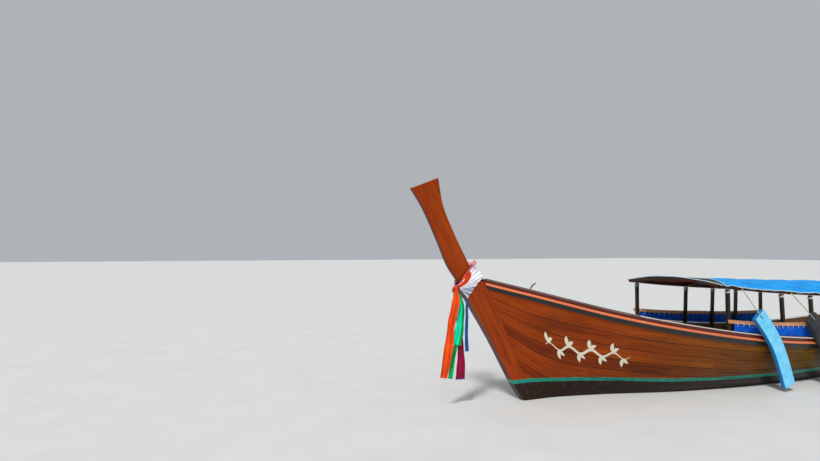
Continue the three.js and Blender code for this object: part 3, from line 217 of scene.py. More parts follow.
# Side view of the skeg, from the propeller: x and z
SKEG = (
    (0.26, -0.028), (0.13, -0.028), (0.1, -0.1), (0.06, -0.19), (0.01, -0.208), (-0.07, -0.215),
    (-0.075, -0.228), (-0.07, -0.24), (0.04, -0.235), (0.09, -0.205), (0.15, -0.15),
)
# Ends of the tail tube's straight run, aft and fore: x and radius
TAIL_X = (-3.78, -0.46)
TAIL_RADII = (0.026, 0.034)
BRACE_X = (-1.3, -2.0, -2.7)
BRACE_ENDS = (-0.7, -3.35)
BRACE_HEIGHT = 0.15
BRACE_RADIUS = 0.009
EXHAUST_PATH = (
    (0.02, 0.18, 0.418), (0.02, 0.235, 0.425), (0.01, 0.262, 0.52), (0.0, 0.262, 0.78),
    (-0.06, 0.262, 0.9), (-0.19, 0.262, 0.935),
)
EXHAUST_JOINT = (0.006, 0.262)
EXHAUST_RADII = (0.03, 0.0265)
TILLER_PATH = ((0.565, 0, 0.055), (0.74, 0, 0.035), (0.93, 0, -0.045), (1.15, 0, -0.165), (1.26, 0, -0.21))
GRIP_ENDS = ((1.245, 0, -0.204), (1.373, 0, -0.256))

# Camera of the photograph
CAMERA_PLACE = (9.192, 7.499, 2.2)
CAMERA_YAW = math.radians(22.5)
CAMERA_PITCH = math.radians(1.89)
CAMERA_LENS = 25.99
FLOOR_REACH = 120.0

SIDES = (("port", 1), ("starboard", -1))


# Shapes in the making

def curve(points, t):
    """Points on the uniform Catmull-Rom curve through points, at t from 0 to the last point's number"""
    p = np.asarray(points, float)
    t = np.clip(np.atleast_1d(np.asarray(t, float)), 0, len(p) - 1)
    i = np.minimum(t.astype(int), len(p) - 2)
    w = (t - i)[:, None]
    ends = np.vstack([2 * p[0] - p[1], p, 2 * p[-1] - p[-2]])
    before, start, end, after = (ends[i + k] for k in range(4))
    leave, arrive = (end - before) / 2, (after - start) / 2
    return (
        (2 * w**3 - 3 * w**2 + 1) * start + (w**3 - 2 * w**2 + w) * leave
        + (3 * w**2 - 2 * w**3) * end + (w**3 - w**2) * arrive
    )


def smooth(points, count):
    """A smooth path of count points through the given ones"""
    return curve(points, np.linspace(0, len(points) - 1, count))


def unit(vectors):
    vectors = np.asarray(vectors, float)
    return vectors / np.maximum(np.linalg.norm(vectors, axis=-1, keepdims=True), 1e-12)


def running(points, axis):
    """Mean running length of a grid of points along one of its axes"""
    lengths = np.linalg.norm(np.diff(points, axis=axis), axis=-1).mean(axis=1 - axis)
    return np.concatenate([[0], np.cumsum(lengths)])


def along(path):
    """Side and up directions carried along a path without twisting"""
    path = np.asarray(path, float)
    tangents = unit(np.gradient(path, axis=0))
    start = np.eye(3)[np.argmin(np.abs(tangents[0]))]
    sides = []
    for tangent in tangents:
        start = unit(start - tangent * (start @ tangent))
        sides.append(start)
    sides = np.array(sides)
    return sides, np.cross(tangents, sides)


def turns(count):
    """Angles of equal steps once round"""
    return np.linspace(0, 2 * math.pi, count + 1)[:-1]


def ring(radius, sides, squash=1.0):
    """A round section as (a, b) points"""
    angles = np.arange(sides) * 2 * math.pi / sides
    return np.stack([radius * np.cos(angles), radius * squash * np.sin(angles)], axis=1)


def rounded(low, high, radius, steps=3):
    """A rectangle between two corners with round corners, as (a, b) points"""
    (a0, b0), (a1, b1) = low, high
    a0, b0, a1, b1 = a0 + radius, b0 + radius, a1 - radius, b1 - radius
    points = []
    for quarter, (a, b) in enumerate(((a1, b1), (a0, b1), (a0, b0), (a1, b0))):
        for step in range(steps + 1):
            angle = (quarter + step / steps) * math.pi / 2
            points.append((a + radius * math.cos(angle), b + radius * math.sin(angle)))
    return np.array(points)


def look_at(value, i, j):
    """A finish or tone at a row and column, where it is a function of them"""
    return value(i, j) if callable(value) else value


def linked(name, data):
    """A new object in the scene"""
    thing = bpy.data.objects.new(name, data)
    bpy.context.scene.collection.objects.link(thing)
    return thing


class Shape:
    """One piece in the making: points, faces, grain coordinates, and each face's finish and tone"""

    def __init__(self, place=None):
        self.place = place
        self.points, self.faces, self.grain, self.finish, self.tone = [], [], [], [], []

    def face(self, corners, grain, finish=0, tone=0.5):
        self.faces.append(corners)
        self.grain.append(grain)
        self.finish.append(finish)
        self.tone.append(tone)

    def grid(self, rows, around=False, caps=False, finish=0, tone=None):
        """Faces between rows of points; finish and tone are a number or a function of row and column"""
        rows = np.asarray(rows, float)
        tone = chance.random() if tone is None else tone
        m, n = rows.shape[:2]
        base = len(self.points)
        self.points.extend(rows.reshape(-1, 3))
        closed = np.concatenate([rows, rows[:, :1]], axis=1) if around else rows
        u, v = running(closed, 0), running(closed, 1)
        for i in range(m - 1):
            for j in range(closed.shape[1] - 1):
                k = (j + 1) % n
                here, there = base + i * n, base + (i + 1) * n
                grain = ((u[i], v[j]), (u[i], v[j + 1]), (u[i + 1], v[j + 1]), (u[i + 1], v[j]))
                self.face((here + j, here + k, there + k, there + j), grain,
                          look_at(finish, i, j), look_at(tone, i, j))
        if caps:
            for row in (0, m - 1):
                spread = rows[row] - rows[row].mean(0)
                a = unit(spread[0])
                b = unit(np.cross(np.cross(spread[0], spread[n // 3]), a))
                self.face(tuple(base + row * n + j for j in range(n)), [(p @ a, p @ b) for p in spread],
                          look_at(finish, row, 0), look_at(tone, row, 0))
        return self

    def solid(self, rows, **look):
        """A closed solid through rows of points, each row going once round it"""
        return self.grid(rows, around=True, caps=True, **look)

    def loft(self, sections, **look):
        """A solid through sections of (y, z) points, each given with its x"""
        return self.solid([[(x, y, z) for y, z in section] for x, section in sections], **look)

    def box(self, corner, opposite, grain=0, **look):
        """A box between opposite corners, whose grain runs along the given axis"""
        low, high = np.minimum(corner, opposite), np.maximum(corner, opposite)
        a, b = [i for i in range(3) if i != grain]
        ends = []
        for end in (low, high):
            quad = np.array([end] * 4)
            quad[:, a] = low[a], high[a], high[a], low[a]
            quad[:, b] = low[b], low[b], high[b], high[b]
            ends.append(quad)
        return self.solid(ends, **look)

    def sweep(self, path, section, sides=None, ups=None, close=False, **look):
        """A section carried along a path; the sides and ups are its axes, found if they aren't given"""
        path = np.asarray(path, float)
        if sides is None:
            sides, ups = along(path)
        sides, ups = np.broadcast_to(sides, path.shape), np.broadcast_to(ups, path.shape)
        section = np.asarray(section, float)
        rows = path[:, None] + section[None, :, :1] * sides[:, None] + section[None, :, 1:] * ups[:, None]
        if close:
            rows = np.concatenate([rows, rows[:1]])
        return self.grid(rows, around=True, caps=not close, **look)

    def tube(self, points, radius, sides=12, count=None, **look):
        """A round rod or pipe; radius is a number or one for each point of the path"""
        path = smooth(points, count) if count else np.asarray(points, float)
        sideways, up = along(path)
        radii = np.broadcast_to(np.asarray(radius, float), (len(path),))
        section = ring(1.0, sides)
        spokes = section[None, :, :1] * sideways[:, None] + section[None, :, 1:] * up[:, None]
        return self.solid(path[:, None] + spokes * radii[:, None, None], **look)

    def lathe(self, profile, centre=(0, 0, 0), axis=(0, 0, 1), sides=32, close=False, **look):
        """Turned round an axis; the profile holds (radius, distance along the axis)"""
        profile = [*profile, profile[0]] if close else profile
        axis = unit(axis)
        side = unit(np.cross(axis, np.eye(3)[np.argmin(np.abs(axis))]))
        up = np.cross(axis, side)
        section = ring(1.0, sides)
        spokes = section[:, :1] * side + section[:, 1:] * up
        rows = [np.asarray(centre) + axis * h + spokes * max(r, 1e-4) for r, h in profile]
        return self.grid(rows, around=True, caps=not close, **look)

    def band(self, centre, axis, inner, outer, half, **look):
        """A flat ring about an axis"""
        profile = [(inner, -half), (outer, -half), (outer, half), (inner, half)]
        return self.lathe(profile, centre, axis, close=True, **look)

    def bolt(self, place, axis, size=0.008, **look):
        """A hexagon head on a washer"""
        head = [(size, 0.0), (size, size * 0.9), (size * 0.8, size * 1.1)]
        self.lathe([(size * 1.6, -0.0005), (size * 1.6, size * 0.25)], place, axis, sides=12, **look)
        return self.lathe(head, place, axis, sides=6, **look)

    def plate(self, outline, low, high, grain=(1.0, 0.0), rim=None):
        """A plate between two y, with an outline of (x, z) points; rim gives the finish of each edge face"""
        low, high = sorted((low, high))
        base, count = len(self.points), len(outline)
        for y in (low, high):
            self.points.extend((x, y, z) for x, z in outline)
        a = unit(grain)
        flat = [(x * a[0] + z * a[1], z * a[0] - x * a[1]) for x, z in outline]
        for side in range(2):
            self.face(tuple(base + side * count + i for i in range(count)), flat)
        run = 0.0
        for i in range(count):
            k = (i + 1) % count
            step = math.dist(outline[i], outline[k])
            corners = (base + i, base + k, base + count + k, base + count + i)
            grain_at = ((run, 0), (run + step, 0), (run + step, high - low), (run, high - low))
            self.face(corners, grain_at, rim(i) if rim else 0)
            run += step
        return self

    def ball(self, centre, sizes, turn=None, sides=16, **look):
        """An ellipsoid with three half-sizes, turned by a matrix if one is given"""
        turn = np.eye(3) if turn is None else np.array(turn)
        angles = np.linspace(-math.pi / 2, math.pi / 2, sides // 2 + 1)
        section = ring(1.0, sides)
        rows = [np.column_stack([section * max(math.cos(a), 1e-3), np.full(sides, math.sin(a))])
                for a in angles]
        return self.solid(np.array(rows) * sizes @ turn.T + np.array(centre), **look)

    def mesh(self, name):
        mesh = bpy.data.meshes.new(name)
        points = [Vector(point) for point in self.points]
        if self.place is not None:
            points = [self.place @ point for point in points]
        mesh.from_pydata(points, [], self.faces)
        return mesh

    def build(self, name, body, finishes, nodes=(), slot=None, bevel=0.0, segments=2, angle=32, holes=()):
        """The Blender object, riding on its body, in the place of its CAD nodes"""
        mesh = self.mesh(name)
        mesh.polygons.foreach_set("material_index", self.finish)
        layer = mesh.uv_layers.new(name="Grain")
        layer.data.foreach_set("uv", [value for corners in self.grain for pair in corners for value in pair])
        tone = mesh.attributes.new("tone", "FLOAT", "FACE")
        tone.data.foreach_set("value", self.tone)
        work = bmesh.new()
        work.from_mesh(mesh)
        bmesh.ops.remove_doubles(work, verts=work.verts, dist=MERGE)
        bmesh.ops.recalc_face_normals(work, faces=work.faces)
        work.to_mesh(mesh)
        work.free()
        piece = linked(name, mesh)
        for finish in finishes if isinstance(finishes, (list, tuple)) else [finishes]:
            mesh.materials.append(finish)
        for start, end, radius in holes:
            pierce(piece, Shape(self.place).tube([start, end], radius, 24).mesh("drill"))
        piece.data.shade_smooth()
        piece.data.set_sharp_from_angle(angle=math.radians(angle))
        if bevel:
            edge = piece.modifiers.new("edges", "BEVEL")
            edge.width, edge.segments, edge.limit_method = bevel, segments, "ANGLE"
            edge.angle_limit = math.radians(angle)
            edge.harden_normals = True
        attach(piece, body)
        nodes = (nodes,) if isinstance(nodes, str) else nodes
        if nodes:
            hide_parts(*nodes)
        return piece


def pierce(piece, drill_mesh):
    """Cuts a piece's mesh by another, for good"""
    drill = linked("drill", drill_mesh)
    cut = piece.modifiers.new("hole", "BOOLEAN")
    cut.object, cut.operation, cut.solver = drill, "DIFFERENCE", "EXACT"
    graph = bpy.context.evaluated_depsgraph_get()
    mesh = bpy.data.meshes.new_from_object(piece.evaluated_get(graph))
    piece.modifiers.clear()
    piece.data = mesh
    bpy.data.objects.remove(drill)


# Hull surface

def hull_point(station, girth, rise=0.0):
    """The outside of the port planking; station 0 is the stem and girth 1 the sheer"""
    station, girth, rise = np.broadcast_arrays(*(np.asarray(a, float) for a in (station, girth, rise)))
    keel, bilge, sheer = (curve(line, station.ravel()) for line in (KEEL, BILGE, SHEER))
    g = girth.ravel()[:, None]
    point = (1 - g) ** 2 * keel + 2 * g * (1 - g) * bilge + g**2 * sheer
    point += unit(sheer - bilge) * rise.ravel()[:, None]
    point[:, 1] = np.maximum(point[:, 1], KEEL_SIDE)
    return point.reshape(station.shape + (3,))


def hull_normal(station, girth):
    d = 0.01
    station, girth = np.broadcast_arrays(np.asarray(station, float), np.asarray(girth, float))
    fore_aft = hull_point(np.maximum(station - d, 0), girth) - hull_point(np.minimum(station + d, LAST), girth)
    upward = hull_point(station, np.minimum(girth + d, 1)) - hull_point(station, np.maximum(girth - d, 0))
    return unit(np.cross(upward, fore_aft))


def inside_point(station, girth, inside):
    """The hull surface moved in, never past the keel's side"""
    point = hull_point(station, girth) - hull_normal(station, girth) * inside
    point[..., 1] = np.maximum(point[..., 1], KEEL_SIDE)
    return point


def stations(low=0.0, high=LAST, each=FINE):
    return np.linspace(low, high, max(3, int(round((high - low) * each)) + 1))


@lru_cache(maxsize=None)
def inside_grid(inset):
    return inside_point(stations()[:, None], np.linspace(0, 1, 41)[None, :], inset)


def half_width(x, z, inset):
    """How far from the centre plane the hull surface, moved in by inset, is at x and z"""
    rows = inside_grid(inset)
    at_z = [[np.interp(z, row[:, 2], row[:, k]) for k in (0, 1)] for row in rows]
    xs, ys = np.array(at_z[::-1]).T
    return float(np.interp(x, xs, ys))


TOP_EDGE = hull_point(stations(), 1.0, BULWARK)[::-1]
SHEER_LINE = hull_point(stations(), 1.0)[::-1]


def top_edge_z(x):
    return np.interp(x, TOP_EDGE[:, 0], TOP_EDGE[:, 2])


def top_edge(station, out):
    """The bulwark's top edge moved across, at the height of the edge beside it"""
    point = hull_point(station, 1.0, BULWARK)
    across = hull_normal(station, 1.0)
    across[..., 2] = 0
    flare = np.linalg.norm(across, axis=-1, keepdims=True)
    point = point + across / flare**2 * out
    point[..., 1] = np.maximum(point[..., 1], KEEL_SIDE)
    point[..., 2] = top_edge_z(point[..., 0])
    return point


def sheer_at(x):
    return np.array([np.interp(x, SHEER_LINE[:, 0], SHEER_LINE[:, k]) for k in range(3)])


def foredeck_top(x):
    return float(sheer_at(x)[2]) - FOREDECK_DROP


def mirrored(rows, side):
    """Rows of points on the port side, or their mirror image where side is -1"""
    return np.asarray(rows, float) * (1, side, 1)


# Finishes

# How far the grain moves from one board to the next, and threads in each metre of cloth
BOARD_SHIFT = 43.0
CLOTH_WEAVE = 900.0


class Finish:
    """A procedural material; most methods add a node and return the socket that holds its result"""

    def __init__(self, name, roughness=0.5, gloss=0.5, **sockets):
        self.material = bpy.data.materials.new(name)
        self.material.use_nodes = True
        self.tree = self.material.node_tree
        self.shader = self.tree.nodes["Principled BSDF"]
        self.shader.inputs["Roughness"].default_value = roughness
        self.shader.inputs["Specular IOR Level"].default_value = gloss
        for key, value in sockets.items():
            self.shader.inputs[key.replace("_", " ").title()].default_value = value

    def feed(self, socket, value):
        if isinstance(value, bpy.types.NodeSocket):
            self.tree.links.new(value, socket)
        elif value is not None:
            socket.default_value = value

    def node(self, kind, *values, **settings):
        node = self.tree.nodes.new("ShaderNode" + kind)
        for key, value in settings.items():
            setattr(node, key, value)
        for socket, value in zip(node.inputs, values):
            self.feed(socket, value)
        return node

    def uv(self):
        return self.node("UVMap", uv_map="Grain").outputs[0]

    def grain(self):
        """Coordinates along and across the piece, in metres, shifted for each board"""
        shift = self.math("MULTIPLY", self.attribute("tone"), BOARD_SHIFT)
        offset = self.node("CombineXYZ", 0.0, 0.0, shift).outputs[0]
        return self.node("VectorMath", self.uv(), offset, operation="ADD").outputs[0]

    def place(self):
        return self.node("TexCoord").outputs["Object"]

    def attribute(self, name):
        return self.node("Attribute", attribute_name=name).outputs["Fac"]

    def axis(self, letter):
        return self.node("SeparateXYZ", self.place()).outputs["XYZ".index(letter)]

    def scaled(self, vector, scale):
        mapping = self.node("Mapping")
        self.feed(mapping.inputs["Vector"], vector)
        mapping.inputs["Scale"].default_value = scale
        return mapping.outputs[0]

    def noise(self, vector, scale, **settings):
        node = self.node("TexNoise")
        values = {"vector": vector, "scale": scale, "detail": 3.0, "roughness": 0.55, **settings}
        for key, value in values.items():
            self.feed(node.inputs[key.title()], value)
        return node.outputs["Fac"]

    def wave(self, vector, scale, direction):
        node = self.node("TexWave", bands_direction=direction)
        self.feed(node.inputs["Vector"], vector)
        self.feed(node.inputs["Scale"], scale)
        return node.outputs["Fac"]

    def math(self, operation, *values):
        return self.node("Math", *values, operation=operation).outputs[0]

    def range(self, value, low, high, to_low=0.0, to_high=1.0):
        return self.node("MapRange", value, low, high, to_low, to_high).outputs[0]

    def ramp(self, value, *stops):
        """Colours along a value; each stop is a position and a colour"""
        node = self.node("ValToRGB", value)
        line = node.color_ramp
        while len(line.elements) < len(stops):
            line.elements.new(0.5)
        for element, (position, colour) in zip(line.elements, stops):
            element.position, element.color = position, (*colour, 1)
        return node.outputs[0]

    def mix(self, factor, first, second):
        node = self.node("Mix", data_type="RGBA")
        for index, value in ((0, factor), (6, first), (7, second)):
            if isinstance(value, tuple):
                value = (*value, 1)
            self.feed(node.inputs[index], value)
        return node.outputs[2]

    def bump(self, height, distance, strength=1.0):
        """Adds a height to what the surface's bump already holds"""
        node = self.node("Bump")
        node.inputs["Strength"].default_value = strength
        node.inputs["Distance"].default_value = distance
        self.feed(node.inputs["Height"], height)
        links = self.shader.inputs["Normal"].links
        if links:
            self.tree.links.new(links[0].from_socket, node.inputs["Normal"])
        self.tree.links.new(node.outputs[0], self.shader.inputs["Normal"])

    def set(self, **sockets):
        for key, value in sockets.items():
            self.feed(self.shader.inputs[key.replace("_", " ").title()], value)


def streaks(finish, fine=34.0, coarse=5.0):
    """A value from 0 to 1 that runs in streaks along the grain"""
    grain = finish.grain()
    thin = finish.noise(finish.scaled(grain, (0.9, fine, 1)), 2.0, detail=6, distortion=0.5)
    wide = finish.noise(finish.scaled(grain, (0.45, coarse, 1)), 1.6, detail=4, distortion=1.2)
    board = finish.range(finish.attribute("tone"), 0, 1, -0.13, 0.13)
    mixed = finish.math("ADD", finish.math("MULTIPLY", thin, 0.5), finish.math("MULTIPLY", wide, 0.5))
    return finish.math("ADD", mixed, board)


def wood(name, dark, middle, light, roughness, coat=0.0, fine=34.0, relief=0.0008):
    finish = Finish(name, roughness, 0.2, coat_weight=coat, coat_roughness=0.18)
    value = streaks(finish, fine)
    finish.set(base_color=finish.ramp(value, (0.28, dark), (0.5, middle), (0.72, light)))
    finish.set(roughness=finish.range(value, 0.2, 0.8, roughness + 0.1, roughness - 0.08))
    finish.bump(value, relief)
    return finish.material


STRIPE_LINE = ((-4.5, 0.34), (-3.0, 0.275), (-1.07, 0.22), (-0.42, 0.202), (0.09, 0.198), (1.2, 0.203),
               (2.16, 0.225), (2.91, 0.259), (3.4, 0.276), (4.9, 0.283))
STRIPE_HALF = 0.028


def hull_bands(finish, bare):
    """The bare colour above a turquoise waterline stripe, and dark antifouling below it"""
    fade = finish.noise(finish.place(), 14.0, detail=5)
    stripe = finish.ramp(fade, (0.3, (0.008, 0.17, 0.125)), (0.7, (0.02, 0.29, 0.205)))
    below = finish.ramp(
        fade, (0.25, (0.010, 0.006, 0.004)), (0.6, (0.026, 0.014, 0.009)), (0.9, (0.07, 0.05, 0.03)))
    low, high = STRIPE_LINE[0][0], STRIPE_LINE[-1][0]
    line = finish.node("FloatCurve", 1.0, finish.range(finish.axis("X"), low, high))
    points = line.mapping.curves[0].points
    while len(points) < len(STRIPE_LINE):
        points.new(0.5, 0.5)
    for point, (x, z) in zip(points, STRIPE_LINE):
        point.location = ((x - low) / (high - low), z)
    line.mapping.update()
    wobble = finish.range(finish.noise(finish.place(), 3.0), 0, 1, -0.006, 0.006)
    height = finish.math("ADD", finish.math("SUBTRACT", finish.axis("Z"), line.outputs[0]), wobble)
    over = finish.range(height, STRIPE_HALF - 0.002, STRIPE_HALF + 0.002)
    under = finish.range(height, -STRIPE_HALF - 0.002, -STRIPE_HALF + 0.002)
    return finish.mix(over, finish.mix(under, below, stripe), bare)


def hull_timber():
    """Varnished teak, redder at the bow"""
    finish = Finish("hull_timber", 0.38, 0.10, coat_weight=0.09, coat_roughness=0.16)
    value = streaks(finish, 30.0, 4.0)
    aft = finish.ramp(
        value, (0.25, (0.038, 0.018, 0.001)), (0.5, (0.125, 0.058, 0.002)), (0.75, (0.22, 0.115, 0.006)))
    bow = finish.ramp(
        value, (0.25, (0.075, 0.008, 0.0)), (0.5, (0.24, 0.032, 0.0)), (0.75, (0.39, 0.066, 0.001)))
    bare = finish.mix(finish.range(finish.axis("X"), -0.4, 3.4), aft, bow)
    stain = finish.noise(finish.scaled(finish.place(), (0.7, 1, 2.2)), 1.3, detail=5)
    bare = finish.mix(finish.range(stain, 0.5, 0.8, 0, 0.55), bare, (0.05, 0.014, 0.001))
    finish.set(base_color=hull_bands(finish, bare))
    finish.bump(value, 0.0007)
    return finish.material


def stem_timber():
    """Varnished teak, red all over"""
    finish = Finish("stem_timber", 0.3, 0.12, coat_weight=0.10, coat_roughness=0.18)
    value = streaks(finish, 16.0)
    bare = finish.ramp(
        value, (0.28, (0.11, 0.014, 0.0)), (0.5, (0.27, 0.033, 0.0)), (0.72, (0.38, 0.058, 0.001)))
    finish.set(base_color=hull_bands(finish, bare), roughness=finish.range(value, 0.2, 0.8, 0.4, 0.22))
    finish.bump(value, 0.0008)
    return finish.material


def edge_paint():
    """Dark red paint along the front of the stem, fading in patches"""
    finish = Finish("stem_edge_red", 0.4, 0.25)
    worn = finish.noise(finish.place(), 9.0, detail=8, roughness=0.65)
    bare = finish.ramp(worn, (0.5, (0.10, 0.008, 0.006)), (0.7, (0.05, 0.01, 0.006)))
    finish.set(base_color=hull_bands(finish, bare))
    return finish.material


def paint(name, colour, worn, roughness=0.35, wear=(0.62, 0.75), coat=0.3):
    """Brushed paint that has worn through in patches"""
    finish = Finish(name, roughness, 0.25, coat_weight=coat, coat_roughness=0.15)
    brush = finish.noise(finish.scaled(finish.grain(), (1.2, 60, 1)), 1.5, detail=4)
    patches = finish.noise(finish.place(), 9.0, detail=8, roughness=0.65)
    shade = finish.mix(finish.range(brush, 0.3, 0.7), tuple(0.78 * c for c in colour), colour)
    gone = finish.range(patches, *wear)
    finish.set(base_color=finish.mix(gone, shade, worn), roughness=finish.range(gone, 0, 1, roughness, 0.75))
    finish.bump(brush, 0.0004)
    finish.bump(gone, 0.0006, 0.5)
    return finish.material


def metal(name, colour, rust=(0.10, 0.035, 0.012), roughness=0.45, metallic=0.0, wear=(0.55, 0.72)):
    """Painted or bare metal with rust and grime"""
    finish = Finish(name, roughness)
    place = finish.place()
    grime = finish.noise(place, 11.0, detail=7, roughness=0.65)
    spots = finish.noise(place, 48.0, detail=5, roughness=0.7)
    tint = finish.mix(finish.range(spots, 0.35, 0.7), tuple(0.62 * c for c in colour), colour)
    mottle = finish.math("ADD", grime, finish.math("MULTIPLY", spots, 0.18))
    eaten = finish.range(mottle, wear[0] + 0.09, wear[1] + 0.09)
    finish.set(base_color=finish.mix(eaten, tint, rust), roughness=finish.range(eaten, 0, 1, roughness, 0.85))
    if metallic:
        finish.set(metallic=finish.range(eaten, 0, 1, metallic, 0.0))
    finish.bump(spots, 0.0006, 0.6)
    finish.bump(eaten, 0.0008, 0.5)
    return finish.material


def cloth(name, dark, light, roughness=0.7, bands=None):
    """Woven cloth; bands is a stripe colour and how many run along each metre of its width"""
    finish = Finish(name, roughness, 0.15, sheen_weight=0.08, sheen_roughness=0.4)
    uv = finish.uv()
    fade = finish.noise(finish.place(), 5.0, detail=5)
    colour = finish.mix(finish.range(fade, 0.3, 0.7), dark, light)
    if bands:
        stripe, count = bands
        lines = finish.wave(uv, count / (2 * math.pi), "Y")
        colour = finish.mix(finish.range(lines, 0.62, 0.72), colour, stripe)
    finish.set(base_color=colour)
    weave = CLOTH_WEAVE / (2 * math.pi)
    threads = finish.math("MULTIPLY", finish.wave(uv, weave, "X"), finish.wave(uv, weave, "Y"))
    finish.bump(threads, 0.0003, 0.5)
    finish.bump(finish.noise(finish.place(), 24.0, detail=4), 0.003, 0.35)
    return finish.material


def tarpaulin(name, dark, light, roughness=0.42):
    """Coated woven plastic with creases and a fine square weave; its colour is darker in the creases' hollows
    and lighter on their ridges, as painted shade and painted highlight
    """
    finish = Finish(name, roughness, 0.1)
    uv = finish.uv()
    creases_and_shade = finish.noise(finish.scaled(uv, (1, 1.6, 1)), 2.6, detail=7, roughness=0.6, distortion=1.4)
    dust = finish.noise(finish.place(), 3.2, detail=6)
    # The colour follows the creases' height: painted shade in their hollows, painted highlight on their ridges
    colour = finish.ramp(creases_and_shade, (0.32, dark), (0.66, light))
    finish.set(base_color=finish.mix(finish.range(dust, 0.6, 0.9, 0, 0.12), colour, (0.35, 0.5, 0.62)))
    threads = finish.math("ADD", finish.wave(uv, 60.0, "X"), finish.wave(uv, 60.0, "Y"))
    finish.bump(threads, 0.0003, 0.6)
    finish.bump(creases_and_shade, 0.012, 0.5)
    return finish.material


def plastic(name, dark, light, roughness=0.5, fineness=60.0):
    """Moulded plastic or foam with scuffs and a fine grain"""
    finish = Finish(name, roughness)
    place = finish.place()
    scuffs = finish.noise(place, 6.0, detail=7, roughness=0.65)
    fine = finish.noise(place, fineness, detail=4)
    finish.set(base_color=finish.ramp(scuffs, (0.3, dark), (0.62, light)))
    finish.set(roughness=finish.range(scuffs, 0.3, 0.7, roughness + 0.12, roughness - 0.08))
    finish.bump(fine, 0.0008, 0.6)
    return finish.material


def rope_finish(name, dark, light):
    """Laid rope: strands wind round it, with painted shade in the grooves between them"""
    finish = Finish(name, 0.8, sheen_weight=0.2)
    strands_and_shade = finish.wave(finish.uv(), 28.0, "DIAGONAL")
    # Darker where the strands dip: painted shade in the grooves
    finish.set(base_color=finish.ramp(strands_and_shade, (0.1, dark), (0.7, light)))
    finish.bump(strands_and_shade, 0.002, 0.7)
    return finish.material


HULL = hull_timber()
STEM = stem_timber()
CAULK = paint("caulking", (0.02, 0.012, 0.008), (0.05, 0.03, 0.02), 0.8, coat=0.0)
BULWARK_RED = paint("bulwark_red", (0.17, 0.016, 0.01), (0.06, 0.012, 0.008), 0.4)
EDGE_RED = edge_paint()
EDGE_DARK = paint("stem_edge_dark", (0.05, 0.022, 0.01), (0.12, 0.06, 0.03), 0.5)
WEATHERED = wood("weathered_end", (0.10, 0.085, 0.075), (0.26, 0.23, 0.21), (0.42, 0.38, 0.35), 0.8,
                 fine=60.0)
RAIL_ORANGE = paint("rail_orange", (0.80, 0.21, 0.085), (0.66, 0.33, 0.22), 0.3, (0.56, 0.72))
# Black of the strake under the rub rail, partly the rail's painted shadow; the cap's dark edge at the bow uses
# it too
STRAKE_BLACK = paint("strake_black", (0.014, 0.018, 0.018), (0.05, 0.05, 0.045), 0.4)
CAP_GREY = paint("cap_grey", (0.60, 0.56, 0.50), (0.17, 0.08, 0.04), 0.45, (0.58, 0.68))
INSIDE = wood("inside_timber", (0.055, 0.02, 0.008), (0.12, 0.05, 0.018), (0.2, 0.09, 0.035), 0.6, 0.1)
RIB = wood("rib_timber", (0.10, 0.035, 0.012), (0.22, 0.09, 0.03), (0.34, 0.15, 0.06), 0.6, 0.1, 24.0)
BOARDS = wood("board_timber", (0.12, 0.065, 0.03), (0.27, 0.16, 0.075), (0.42, 0.28, 0.15), 0.75,
              fine=40.0, relief=0.0012)
POST = wood("post_timber", (0.012, 0.008, 0.006), (0.032, 0.02, 0.013), (0.07, 0.04, 0.025), 0.55, 0.15, 20.0)
BATTEN = wood("batten_timber", (0.26, 0.10, 0.045), (0.50, 0.23, 0.11), (0.68, 0.36, 0.2), 0.55, 0.1, 26.0)
ROOF_WOOD = wood("roof_timber", (0.016, 0.006, 0.004), (0.045, 0.014, 0.008), (0.085, 0.028, 0.016), 0.6,
                 fine=26.0)
CANVAS_TOP = tarpaulin("canvas_dark", (0.018, 0.014, 0.012), (0.06, 0.045, 0.038), 0.6)
CANVAS_UNDER = tarpaulin("canvas_red", (0.08, 0.005, 0.004), (0.24, 0.014, 0.010), 0.7)
TARP = tarpaulin("tarp_blue", (0.0, 0.23, 0.72), (0.0, 0.42, 0.98), 0.55)
# The tarpaulin's underside is a darker copy of its blue: painted shade
TARP_UNDERSIDE_SHADED = tarpaulin("tarp_underside_painted_shade", (0.0, 0.10, 0.36), (0.01, 0.19, 0.52), 0.5)
HEM = cloth("hem_pale", (0.30, 0.50, 0.60), (0.55, 0.72, 0.80), 0.7)
SIDE_CLOTH = tarpaulin("side_cloth", (0.0, 0.045, 0.38), (0.0, 0.13, 0.70), 0.5)
LASHING = rope_finish("lashing_white", (0.42, 0.42, 0.40), (0.80, 0.80, 0.76))
ROPE = rope_finish("rope_tan", (0.20, 0.15, 0.09), (0.48, 0.39, 0.26))
SASH_ORANGE = cloth("sash_orange", (0.58, 0.04, 0.0), (0.90, 0.085, 0.003), 0.5)
SASH_TURQUOISE = cloth("sash_turquoise", (0.0, 0.55, 0.30), (0.0, 0.98, 0.56), 0.5)
SASH_GREEN = cloth("sash_green", (0.0, 0.24, 0.05), (0.0, 0.50, 0.13), 0.5)
SASH_MAGENTA = cloth("sash_magenta", (0.15, 0.0, 0.018), (0.36, 0.0, 0.055), 0.5)
SASH_BLUE = cloth("sash_blue", (0.004, 0.045, 0.18), (0.008, 0.12, 0.38), 0.5)
SASH_MAROON = cloth("sash_maroon", (0.05, 0.004, 0.004), (0.14, 0.012, 0.008), 0.6)
SASH_PINK = cloth("sash_pink", (0.45, 0.03, 0.06), (0.80, 0.14, 0.16), 0.5)
WRAP_WHITE = cloth("wrap_white", (0.78, 0.76, 0.82), (0.94, 0.92, 0.96), 0.6)
WRAP_STRIPED = cloth("wrap_striped", (0.16, 0.22, 0.34), (0.34, 0.42, 0.56), 0.6,
                     bands=((0.82, 0.80, 0.78), 42))
FLOWER_WHITE = cloth("flower_white", (0.75, 0.55, 0.60), (0.92, 0.84, 0.86), 0.6)
